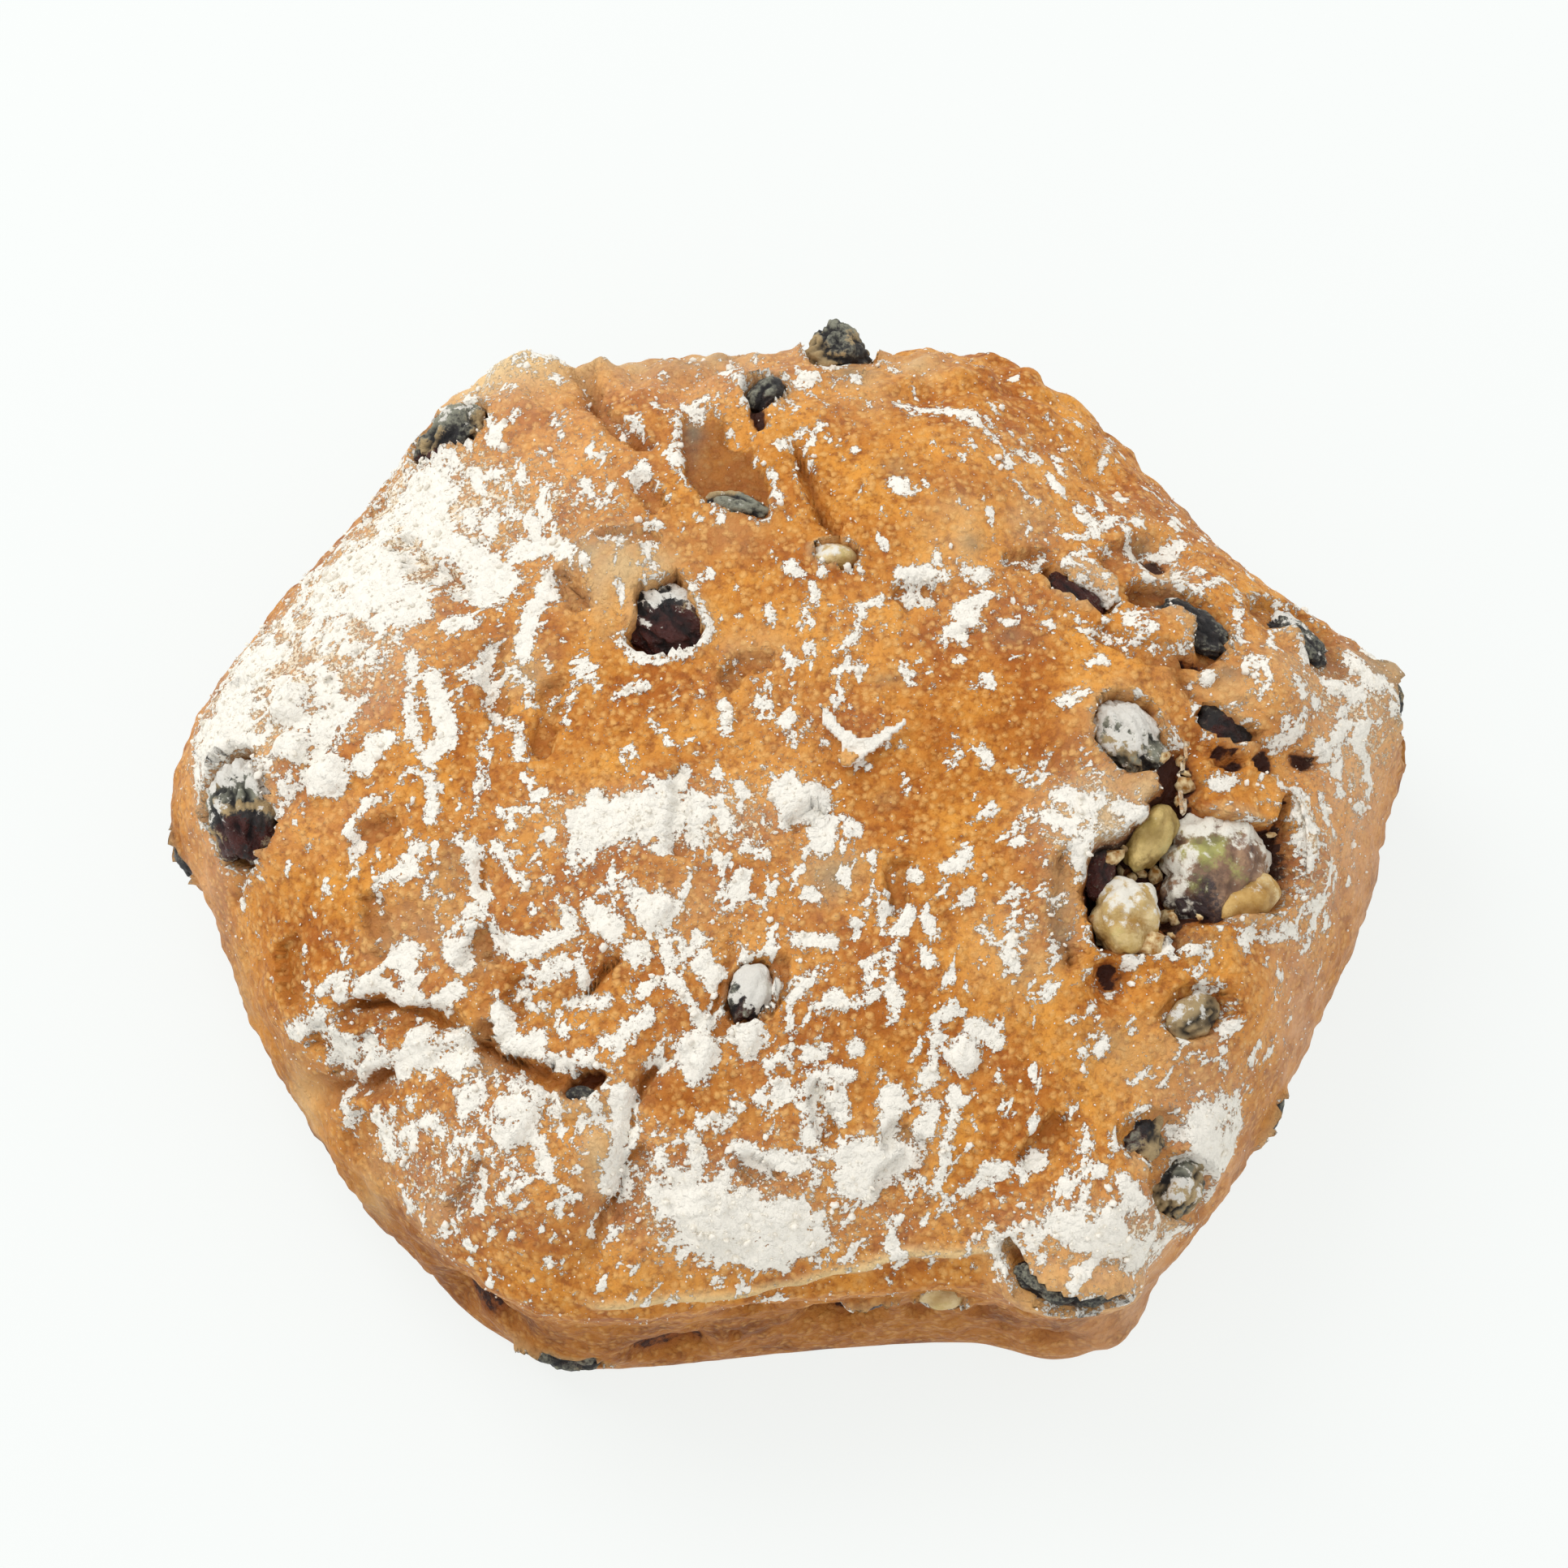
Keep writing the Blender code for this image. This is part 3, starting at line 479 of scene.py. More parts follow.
PILES = [  # half width, then x and y of the points that a pile or streak of flour runs through
    (1.2, 24, -40.4, 27, -41.4, 30.6, -41.8), (0.6, 32.6, -41.4, 34.4, -39.8),
    (0.7, 36.6, -30.4, 38.6, -29.2), (1.3, -14.2, -31, -14.2, -34.5, -15.2, -38),
    (1.6, -9, -39, -4, -40.5, 1, -40.4), (1.1, -7, -42.4, -2, -43, 3, -42), (0.6, -43, -27, -41.5, -30),
    (0.7, -40.5, -31, -38.5, -34), (0.6, -38, -29.6, -36, -33), (0.5, -36.6, -35, -34.4, -38),
    (0.4, -34.9, -31.7, -32.5, -31.5, -30.9, -32.2), (0.4, -29.5, -33.6, -27.7, -33.6, -26.9, -35.1),
    (0.5, -27.2, -38.2, -26.3, -36.8), (0.4, -24.8, -38.1, -22.4, -36.7), (1.2, -24.7, -31.4, -23.6, -32.7),
    (0.5, -21.3, -34.3, -20.8, -36.6), (0.4, -18.7, -38.5, -19.5, -38),
    (0.4, -16.9, -30.3, -16.3, -32.6, -16.6, -31.3), (0.7, -11.3, -38.4, -10.6, -39.7),
    (0.7, -9.8, -37.2, -8.2, -36.8), (0.6, -7.9, -34.5, -7.7, -36.3), (0.6, -7.4, -32.8, -5.6, -32.6),
    (1.1, -6.4, -39.2, -3.3, -38.9), (0.5, -5.1, -36.7, -5.6, -37.8), (0.5, -4.6, -30.6, -4.3, -31.6),
    (0.8, -3.8, -35.2, -1.8, -35.9, 1.3, -36), (0.7, -2, -30.6, -0.2, -30.1), (0.9, 1.8, -30.8, 2.9, -29.3),
    (0.7, 2.6, -32.3, 2.3, -33.7), (0.9, 4.4, -30.3, 4.9, -32), (1.1, 5.5, -37.2, 7.5, -37.9),
    (1.7, 6.2, -35.5, 8.3, -36.3, 10.1, -35.4), (0.9, 9.6, -30.5, 9.3, -32.7),
    (0.7, 12.9, -31.5, 12.4, -33.6), (0.5, 16, -38.2, 17.3, -37.6), (0.6, 18.1, -36.7, 19.4, -36.6),
    (0.7, 21.2, -37, 22.9, -35.7), (0.6, 25.8, -36.9, 27.4, -35.9), (0.5, 26.3, -34.6, 26.7, -33.4),
    (0.8, 29.6, -36.6, 30.1, -37.9), (1.7, 36.8, -32, 39.9, -31.8), (1.1, 38.8, -33.8, 40.4, -34),
    (1.1, 40.4, -30.3, 41.6, -28.8), (0.4, -46.2, -19.9, -42.9, -21.3, -41.6, -20.2),
    (0.3, -45.5, -23.6, -43.5, -25.5), (0.5, -42.1, -18.1, -40.9, -17.9, -40.4, -19),
    (0.5, -41.5, -27.2, -40.5, -29.3, -40.3, -30.1), (0.8, -41.4, -22.3, -41.2, -24.1, -39.9, -23.7),
    (0.5, -40, -26, -38.2, -25.9, -36.4, -25.1), (0.7, -38.7, -19, -36.4, -19.7, -34.5, -21),
    (0.6, -38.4, -23.9, -37.6, -25.3), (0.4, -38.1, -18.4, -36.4, -17.7, -35.6, -17.1),
    (0.8, -35.6, -27.2, -33.9, -25.7, -31.7, -25.6, -29.8, -26.6),
    (0.7, -29.5, -24.2, -28.5, -26.3, -28.2, -28.1), (0.8, -29.4, -20.1, -30.9, -21.3, -32.5, -21.6),
    (0.9, -27.4, -29.6, -28.2, -30.9), (0.9, -25.6, -23, -24.5, -25.1), (0.5, -23.9, -29, -22.9, -30.1),
    (0.7, -23.7, -25.7, -22.1, -25.3), (0.6, -23, -21.1, -21.2, -19.2, -19.6, -18.7),
    (0.5, -22.7, -21.9, -21.1, -23, -19.3, -24.7), (0.4, -21.6, -26.6, -19.5, -27.7, -19, -28.7),
    (0.8, -21.3, -29.6, -20.2, -31.4), (0.4, -19.3, -22.1, -16.7, -22), (0.4, -18.3, -18.2, -17.8, -20.4),
    (0.4, -17.9, -26.8, -16.4, -29.1), (0.5, -17.3, -22, -16.3, -22.3), (0.5, -16.1, -25.7, -15.8, -25.7),
    (0.7, -13.9, -24.7, -12.4, -23.6), (0.5, -12.6, -21.3, -11.1, -20.5), (0.5, -11.8, -28.2, -10.5, -28),
    (1.7, -7.5, -26.9, -7.2, -26.9), (0.9, -7.5, -18.7, -5.9, -20.5), (0.5, -5.4, -21.3, -6.2, -23.7),
    (0.9, -3.6, -24.2, -3.1, -26), (1.2, -2.2, -20.5, -2.4, -21.8), (0.5, -1.3, -27.7, 0.5, -27.2),
    (0.7, 2.4, -26.4, 3.4, -26.6), (0.4, 3.1, -19.7, 1.3, -21.3, 0.4, -22.6, 0.5, -24.7),
    (0.4, 3.1, -22.8, 4.7, -21.8, 6.2, -22.3, 8.1, -21.3), (0.5, 4.5, -28.5, 5.7, -28.9),
    (0.6, 6.3, -26.6, 6.6, -26.6), (0.4, 7.3, -19.2, 8.8, -18.1, 9.9, -17.6), (0.7, 9.6, -20.7, 9.9, -21.8),
    (0.8, 13.2, -28.6, 12.4, -29.5), (0.4, 13.7, -23.9, 13.4, -27.6), (0.6, 14.6, -23.4, 15.5, -22.8),
    (0.4, 15.2, -29.8, 14.9, -32.7, 14.1, -35.6, 13.4, -37.8), (0.9, 15.5, -26.9, 16.7, -26.9),
    (0.5, 16.6, -24.1, 17.1, -24.9), (0.9, 17, -24.7, 18.8, -25.3), (0.7, 18.1, -24.9, 19.1, -24.6),
    (0.3, 28, -24, 26.8, -25.1, 26.7, -26.6), (0.5, 28.5, -26, 28.8, -24.9),
    (0.5, 30.2, -20.4, 31.3, -17.9), (0.4, 39.1, -30, 41.7, -29.9), (0.5, 39.6, -28.2, 39.9, -28.2),
    (0.5, 46.2, -21.2, 47.1, -21.4), (0.3, -35.8, -9.5, -36.8, -10.2, -37.3, -11.5),
    (0.7, -34, -16, -34.2, -18.1, -33.4, -20.2, -31.4, -22), (0.3, -33.1, -6.5, -34.4, -8, -35.5, -9.2),
    (0.8, -30, -16.4, -28.9, -17.8),
    (0.6, -28.5, -7.2, -28, -9.7, -27.1, -11.9, -28.1, -13.9, -28.2, -15.5),
    (0.5, -26.3, -14.6, -27, -15.8), (0.4, -26.2, -7.3, -25, -9.3, -23.2, -11.3),
    (0.7, -26, -15.9, -23.8, -16.9, -22, -17), (0.6, -21.2, -16.5, -18.9, -15.8),
    (0.7, -17.1, -13.4, -16, -15.3), (1.2, -16.6, -14.5, -15.6, -15.6), (0.7, -13.5, -17.3, -12.7, -17.8),
    (1.3, -11.4, -13.9, -11.1, -13.9), (0.5, -10.7, -16.8, -9.8, -20, -7.7, -22.9, -6.5, -24.4),
    (0.4, -9.3, -16, -8.5, -17.6, -7.5, -16.9), (0.4, -4.3, -17.1, -3.2, -19.2),
    (0.6, -3.4, -8.2, -2.1, -8.4), (0.7, 1.3, -16.6, 4.2, -16.8), (0.6, 2.1, -11.7, 2.9, -12.3),
    (0.6, 6.3, -15.3, 6.6, -15.3), (0.6, 9.2, -13.7, 9.5, -13.7), (0.5, 10.2, -15.5, 11.5, -14.4),
    (0.7, 11.9, -10.8, 12.2, -10.8), (0.6, 12.5, -17.6, 13, -18.4), (0.5, 13, -15.2, 13.5, -16),
    (0.6, 14.7, -10, 16, -9.1), (0.5, 15.9, -12.9, 16.2, -12.9), (0.6, 16.1, -12.9, 16.7, -12.1),
    (0.4, 17.4, -15.2, 17.8, -15.2), (0.6, 20.3, -14.9, 20.4, -19.3), (0.6, 20.6, -16.3, 20.4, -19.3),
    (0.4, 21.9, -14.1, 22.1, -15.2), (0.8, 26, -7.6, 27.3, -9.8), (0.4, 35, -15.1, 35.2, -15.1),
    (0.6, 36.9, -17.9, 37.2, -17.9), (0.6, 42.4, -13.8, 41.3, -15.1),
    (0.4, 43.5, -14.1, 45.3, -13, 47.1, -12), (0.5, 48, -10, 49.2, -8.6), (0.9, -49, 5.2, -52.8, 5.5),
    (0.5, -47.8, -3.8, -47.5, -3.8), (1, -46, 3.9, -44.9, 3.6), (1.4, -42.9, 0.8, -41.2, 0.6),
    (0.9, -38.8, 1.2, -37.4, 3, -36.1, 3.3), (0.5, -38.4, -2.7, -40, -4.8),
    (0.5, -34.1, 0.6, -32.2, -0.7, -32.1, -4.4), (0.2, -27.1, -0.3, -27.8, -3.4, -28.6, -4.4),
    (0.3, -26.7, 5, -27.4, 1.2, -28, -2.1), (0.5, -24.6, -4.6, -23.6, -4.4),
    (2.1, -17.5, -5.8, -13.6, -5.4, -10.5, -4.8), (0.8, -11, -2.8, -10.5, -4.8, -11, -8.1),
    (0.9, -7.8, -4.5, -8.1, -7.3), (0.7, -5.5, 5.9, -5, 4.7), (0.6, -5.5, -5.4, -4.7, -6.5),
    (0.6, -0.1, -5.8, 0.2, -5.8), (0.3, 0, 4.1, 1, 2.5, 2.2, 4.3), (1.7, 0.3, -2.1, 1.1, -3.7),
    (1.2, 3.7, -5.4, 3.2, -7.6), (0.6, 5.5, -5.7, 6.3, -6.5), (0.6, 17.8, 2, 18.5, 0),
    (0.8, 23.7, -4.9, 25.8, -6), (1.1, 25.3, -2.7, 27.4, -3.4), (1, 30.6, -3.6, 32.7, -4.5),
    (0.7, 41.3, 0.4, 39.7, -0.6), (0.9, 47.8, -0.3, 48, -2.9, 48.1, -5.5), (0.4, 50.3, 0.3, 51, -1.7),
    (1.7, -53, 8, -50.5, 9.3), (1.9, -50.1, 14.6, -50.4, 11.9), (1.4, -45.7, 8.6, -45.3, 7.1),
    (1.4, -40.9, 6.9, -42.5, 5), (1.3, -35.9, 15.8, -33.7, 16.2, -34.4, 18.2),
    (0.6, -34, 11.1, -34.6, 7.5, -34.2, 3.5), (0.9, -32.5, 9.1, -31.6, 6, -30.7, 3.1, -32.5, 1.4),
    (0.8, -30.9, 14.6, -29.2, 14.9), (0.7, -27.5, 12.4, -28, 9.8, -27.1, 8.8),
    (0.5, -26.6, 8.5, -27.3, 6.2, -25.4, 4.9, -24, 3.4, -24, 1.1), (0.4, -25, 10.2, -23.6, 8.7, -23.6, 6.6),
    (0.4, -19.1, 7.9, -19.8, 5.6), (0.5, -15.1, 7, -13, 7.6), (0.3, 2.5, 16.9, 1.9, 15.1, 2.7, 14),
    (0.5, 4.8, 9.3, 6.7, 9.9), (0.5, 9, 16.5, 7.2, 16, 7.3, 14.8, 6.1, 12.4, 4.8, 11),
    (0.4, 10.9, 9.7, 11.2, 9.7), (0.5, 11.1, 17.6, 13.5, 16.8), (0.5, 14.8, 12.9, 16.4, 14.2, 18, 14.4),
    (0.8, 16.2, 16, 17.5, 16.8, 18.6, 17.3), (0.8, 16.4, 16, 17.5, 15.2), (0.4, 17.4, 7.9, 18.5, 8.5),
    (0.5, 27.7, 7.3, 25.3, 6.3), (0.6, 28.1, 10.6, 29.3, 10.7), (0.4, 29.1, 14.5, 31.2, 12.7, 31.9, 11.4),
    (0.4, 32.6, 13.1, 32.5, 16.1), (0.2, 33.3, 16.2, 33.4, 13.6, 35, 12.2, 37.4, 12.3),
    (0.2, 37.6, 9.1, 38.2, 5.7, 39.8, 3.3), (0.6, 47.8, 7.1, 47.1, 5.5, 45.6, 4),
    (0.7, 51.2, 11.7, 53.6, 10.8, 55.7, 12.9), (0.7, 52.5, 7.6, 51.8, 5.5),
    (1.4, -42.8, 24.2, -43.6, 20.8, -42.2, 17.8), (2.5, -39.8, 23.4, -37.8, 19.9, -38.8, 18.7),
    (1.7, -31.3, 23.7, -28.2, 21.4, -26.1, 19.6), (1.3, -28, 18.8, -27.4, 17.1),
    (0.7, -26.4, 27.1, -23.9, 26.2), (1.1, -24.6, 22.7, -21.9, 22.7, -20.5, 22),
    (0.9, -22, 19.6, -23, 16.5, -23.7, 14.1, -23.8, 11.4), (0.6, 0.6, 20.1, 1.2, 19.4),
    (0.6, 10.4, 29, 11.5, 28), (1.1, 11.1, 19.5, 13.5, 19.6), (0.6, 14.4, 21.5, 14.9, 19.3),
    (0.5, 16.5, 20, 18.8, 19.7), (0.6, 18.2, 19.4, 18.5, 19.4), (0.3, 20.6, 20.7, 22.7, 21.9),
    (0.3, 23, 20.4, 24.2, 22.4), (0.3, 25.5, 20.7, 27.2, 22.4, 29.2, 22.9, 30.9, 23.3),
    (0.4, 26.8, 24.5, 29, 24.7, 31.1, 27.4, 32.3, 27.9), (0.4, 32.7, 25.5, 34.7, 24.4, 37.6, 25.6),
    (0.3, 33.9, 22, 33.9, 19.3), (0.3, 37.4, 22.6, 36.8, 19.2, 38.1, 21.6),
    (0.4, 38, 19.1, 40.7, 21, 42.3, 19.8, 42.6, 16.7, 42.3, 14.7, 43.1, 14.1),
    (0.5, 43.9, 26.6, 46.7, 28.5), (0.2, 44.2, 21.5, 44.3, 17.9), (0.7, -41.5, 39.3, -41.4, 33.9),
    (1.7, -32.9, 32, -33.6, 28.4, -32.5, 24.5), (0.3, -0.8, 34.1, 2, 35.6),
    (0.3, 1.4, 32.8, 2.8, 34.8, 3.6, 36.3), (0.5, 11.2, 38.9, 15, 38.6, 17.8, 37.4, 19.4, 35.5),
    (0.7, 15.9, 38.4, 17.8, 38.1), (0.6, 22.3, 34, 23.3, 33.5), (0.3, 42.9, 34.5, 45.1, 31.6),
    (0.3, -10.2, 38, -10.2, 34.4, -9.6, 31.4), (0.35, -1.1, 31.4, -0.7, 28.6, -0.7, 26.6),
    (0.4, -9.6, 39.4, -7.8, 40, -6, 38.6), (0.45, -8.2, 18, -7.2, 14.6, -6.9, 12.8, -8.6, 11.1),
    (0.5, -8.8, 11, -11.5, 10.4, -13.4, 10.6, -15, 12.2), (0.25, -42.9, 3, -45.6, -0.8, -50.8, -7),
    (0.4, -7.3, 43.4, -5.3, 42.7, -4, 40.7), (0.2, 32.2, 42.1, 30.9, 35.1),
]
MOUNDS = [  # x, y, reach, height of a lump of flour
    (-23.9, -32.1, 2.3, 1.1), (-7.7, -27, 2.5, 1.1), (-45.6, 8.1, 2.2, 1.2), (-45.4, 3.8, 1.8, 0.9),
    (-42, 0.7, 2.4, 1.1), (-11.4, -14, 1.9, 0.7), (-2.2, -21.2, 1.8, 0.7), (16.1, -26.9, 1.5, 0.8),
    (-3.3, -25.1, 1.6, 0.7), (9, -13.7, 0.9, 0.5), (6.3, -15.4, 0.8, 0.5), (-52.6, 5.6, 2.4, 0.8),
    (-22.6, -30.3, 1.6, 0.8), (-20.1, -28.9, 1.4, 0.6), (39, 9.6, 1, 0.7), (35.3, -12.6, 0.7, 0.6),
    (2.6, -3.6, 2.2, 0.6), (36.6, -16.2, 0.9, 0.5), (-33, -25.2, 2, 0.6), (-7, -40, 3, 0.7),
]
CLEFTS = [  # half width, then x and y of the points that a fine crack runs through
    (0.5, -36.2, 25, -34.3, 22.1, -32.2, 20.2, -29.7, 18), (0.35, -40.5, 30.9, -39, 31.7),
    (0.4, -51, 11.7, -47.6, 8.1), (0.3, -5.3, 8.5, -3.4, 10.3, -1.7, 10.6), (0.3, -16.3, 23.3, -12.5, 23.6),
    (0.3, -13.7, 29.9, -12.2, 27.6), (0.35, 10.9, 17.5, 13.5, 17.7), (0.35, 29.6, 14.2, 32, 12.1),
    (0.45, 33.3, 11.9, 36.6, 11.5), (0.3, 21.7, 21.3, 24.2, 21.9), (0.4, -37.6, -11.5, -36.2, -15.7),
    (0.4, -41.2, -25.3, -38.6, -24), (0.5, -44.9, -25.1, -40.7, -26.6, -36.2, -27.7),
    (0.4, -28.6, -17.5, -27, -15.6, -26, -17), (0.35, -27.4, -24.1, -26.6, -27.5),
    (0.35, -24.3, -22.5, -23.6, -20.7), (0.35, -25, -26.9, -20.8, -28.7, -19.2, -29),
    (0.35, -40, -29.7, -38.8, -31), (0.4, -29.5, -38.3, -26.6, -36.1), (0.3, -38.9, -5.8, -35.9, -4.6),
    (0.35, -39.8, -20.8, -36.4, -21.9, -29.8, -22.9), (0.3, -9.4, -1.7, -9.6, -7.8),
    (0.3, 2.9, -30.3, 3.6, -33), (0.35, 9.8, -33.7, 11.9, -34.7), (0.3, 9, -37.7, 11.7, -35.8),
    (0.4, -14.4, -39.5, -12.8, -36), (0.3, 1.2, -5.5, 2.8, -4.4), (0.3, 10.3, -13.1, 10.2, -10.1),
    (0.3, -3.3, -36.3, -1.8, -37.1), (0.4, -5.4, -24.2, -4.9, -21, -3.1, -19.5),
    (0.35, -2.3, -23.1, -0.7, -21.3, -0.5, -18.9), (0.35, -42.5, -22, -40, -24.8),
    (0.3, -20.6, 19, -19, 16.4), (0.3, -21.5, 8, -21.9, 2), (0.35, -27, 12, -26.4, 5.4),
    (0.3, 22, -36, 24.4, -33), (0.3, -43, -31, -40, -34.4),
    (0.45, -19.6, 45, -18.6, 42, -17.2, 39, -15, 36.4, -13.4, 34.6), (0.3, 30.2, 21.6, 34, 25),
    (0.3, -46, -14, -44.4, -18),
]
RUBBED = [  # where a hand rubbed the crust clean: x, y, reach along x and y, strength
    (-45, -13, 8, 8, 0.95), (-38, -14, 4, 5, 0.6), (-30.5, 4, 5, 6, 0.7), (-22, 8, 6, 7, 0.6),
    (-25, -18, 3, 4, 0.6), (-12, -23, 8, 5, 0.5), (12, -24, 10, 8, 0.5), (8, -33, 8, 5, 0.45),
    (27, -30, 8, 7, 0.8), (20, -34, 6, 5, 0.6), (12, -2, 10, 7, 0.6), (20, 4, 8, 8, 0.5),
    (-8, -31, 5, 2.5, 0.7), (-17, -36, 3, 5, 0.8), (-37, -22.6, 8, 1.6, 0.7), (44, -18, 6, 5, 0.5),
    (34, 8, 8, 6, 0.4), (-13, 8, 6, 6, 0.5), (-40, 2, 3, 3, 0.4), (-38, -29, 8, 1.4, 0.6),
]


def veil_at(points):
    bare = np.ones(len(points))
    for x, y, long, wide, strength in VEILS:
        away = ((points[:, 0] - x) / long) ** 2 + ((points[:, 1] - y) / wide) ** 2
        bare *= 1 - strength * np.exp(-0.8 * away)
    return (1 - 0.92 * bare) * smoothstep(BELLY - 2, CREASE + 3, points[:, 2])


def patches(points, spots):
    """How strongly each point lies in soft oval spots: x, y, reach along x and y, strength."""
    field = np.zeros(len(points))
    for x, y, long, wide, strength in spots:
        away = ((points[:, 0] - x) / long) ** 2 + ((points[:, 1] - y) / wide) ** 2
        field = np.maximum(field, strength * np.exp(-0.9 * away))
    return field


def pushed(points, pushes):
    """The points pushed about by noise, so that what follows a smooth route comes out ragged."""
    moved = points.copy()
    for width, push in pushes:
        moved += [(push * noise.noise_vector(Vector(p) / width))[:] for p in points]
    return moved


def route_of(numbers):
    return [numbers[i:i + 2] for i in range(1, len(numbers), 2)]


VEIL = veil_at(POINTS)
VEIL *= 1 - patches(POINTS, RUBBED) * np.clip(0.9 + 0.6 * rough(POINTS, 3, 3), 0, 1)
UNEVEN = pushed(POINTS, [(3.2, 0.55), (1.2, 0.3)])
print("veil covers", round(float(VEIL.mean()), 2), "of the crust")

# %% [markdown]
# Between the named piles, flour lies in small drifts where the veil is thick, and the drifts are split
# where the dough stretched. Split mud and glaze look the same: cells with straight shared edges. So
# each point takes its distance to the edge between its two nearest cell middles.

# %% Piles, drifts and splits
CELL = 3.1  # width of a split cell


def to_split(points):
    """Distance from each point to the nearest split of the dry layer."""
    edge = np.zeros(len(points))
    for i, p in enumerate(points):
        place = Vector(p) / CELL
        place += 0.3 * noise.noise_vector(place * 0.9)
        middles = noise.voronoi(place)[1]
        between = middles[1] - middles[0]
        edge[i] = CELL * ((middles[0] + middles[1]) / 2 - place).dot(between.normalized())
    return edge


def drifts(points):
    """Signed distance to the edges of the drifts, above nought on them."""
    bent = points[:, 0] + 0.006 * points[:, 1] ** 2
    streaks = np.stack([bent / 1.5, points[:, 1] / 2.7, points[:, 2] / 2], axis=1)
    lying = np.array([noise.fractal(Vector(p), 0.7, 2.2, 4) for p in streaks])
    return 1.15 * (1.5 * lying - 0.95 + 1.3 * VEIL)


def piles(points):
    """Signed distance to the edges of the named piles and mounds."""
    field = np.full(len(points), -9.0)
    for pile in PILES:
        field = np.maximum(field, pile[0] - way_to(points, route_of(pile), 3.5))
    for x, y, reach, _ in MOUNDS:
        field = np.maximum(field, 0.9 * reach - np.hypot(points[:, 0] - x, points[:, 1] - y))
    return field


def clefts(points):
    """How deep in a fine crack each point is, from 0 to 1."""
    field = np.zeros(len(points))
    for cleft in CLEFTS:
        field = np.maximum(field, np.exp(-(way_to(points, route_of(cleft), 2) / cleft[0]) ** 2))
    return field * ON_TOP


def mounds(points):
    lift, uneven = np.zeros(len(points)), 0.3 * rough(points, 1.3, 6)
    for x, y, reach, height in MOUNDS:
        away = np.hypot(points[:, 0] - x, points[:, 1] - y) / reach + uneven
        lift = np.maximum(lift, height * smoothstep(1.05, 0.45, away))
    return lift


split = to_split(UNEVEN)
in_splits = patches(POINTS, [(-26, -24, 22, 18, 1), (0, -30, 22, 14, 0.9), (8, -16, 14, 12, 0.4)])
drift = drifts(POINTS)
drift = np.minimum(drift, split - 0.3 + 2.5 * (1 - smoothstep(0.25, 0.6, in_splits)))
LEVEL = np.maximum(drift, piles(UNEVEN) + 0.08 + 0.25 * in_splits + 0.25 * rough(POINTS, 0.9, 5))
LEVEL = np.minimum(LEVEL, split - 0.12 + 2 * (1 - in_splits) + 0.9 * (rough(POINTS, 7, 8) > -0.1))
LEVEL -= 3 * smoothstep(24, 15, POINTS[:, 2] + 3 * rough(POINTS, 4, 9))
CLEFT = clefts(UNEVEN)
VEIL = VEIL * (1 - 0.45 * in_splits)
# Along the splits the crust is painted darker: painted shade.
SPLIT_SHADE = 0.9 * smoothstep(0.2, 0.7, in_splits) * np.exp(-(split / 0.4) ** 2)
print("flour lies on", round(float((LEVEL[~UNDER] > 0).mean()), 2), "of the crust")

# %% [markdown]
# ## Lift the crust
#
# All relief goes along the smooth form's own normals. Skin laps over the rim of every raisin and ends
# at a torn edge, with a gap beside the fruit. A second, finer pass goes along the lifted crust's own
# normals, so that the steep walls of the tears get blisters of the same size as the top.

# %% Cracks, tears and skin over the fruit
def lip(edge, flour, seed):
    """Flour caught on a torn lip, as a signed distance."""
    if not flour:
        return np.full(len(edge), -9.0)
    patchy = flour * (0.3 + 1.9 * rough(POINTS, 4, seed))
    return patchy - abs(edge - 0.3) + 0.3 * rough(POINTS, 1.1, seed)


def tear_crust(lift, level):
    """Drop the crust inside each tear. Returns the lift, the flour and how deep inside one it is, which is
    the mask for the painted shade in the tear.
    """
    torn = np.zeros(len(lift))
    for outline, depth, wall, flour in TEARS:
        edge = from_edge(UNEVEN_EDGE, outline)
        gone = smoothstep(0.1, -wall, edge) * ON_TOP
        lift = (1 - gone) * (lift + 0.25 * np.exp(-((edge - 0.5) / 0.5) ** 2)) - gone * depth
        # The painted shade in a tear grows with its depth.
        tear_shade = PATCHY * min(1, depth / 1.6) ** 2 * ON_TOP
        torn = np.maximum(torn, tear_shade * smoothstep(0.2, -0.2 - 0.3 * wall, edge))
        level = np.maximum(level, lip(edge, flour, depth))
    return lift, level, torn


def opening_of(piece, local):
    """Signed distance to the torn skin over a piece, the gap's depth and the flour on the lip."""
    if piece.name in OPENINGS:
        outline, gap, flour = OPENINGS[piece.name]
        return from_edge(UNEVEN_EDGE, outline), gap, flour
    if piece.name in STRIPS:
        route, half, gap, flour = STRIPS[piece.name]
        return way_to(UNEVEN_EDGE, route) - half, gap, flour
    shrink = math.sqrt(max(0.2, 1 - (piece.sunk / (piece.thickness / 2)) ** 2))
    half = np.array([piece.length, piece.width]) / 2 * shrink
    away = (np.linalg.norm(local[:, :2] / half, axis=1) - 1) * math.sqrt(half[0] * half[1])
    return away + 0.35 + 0.9 * rough(POINTS, 2.4, piece.x), 1.4, 0.25 * piece.flour


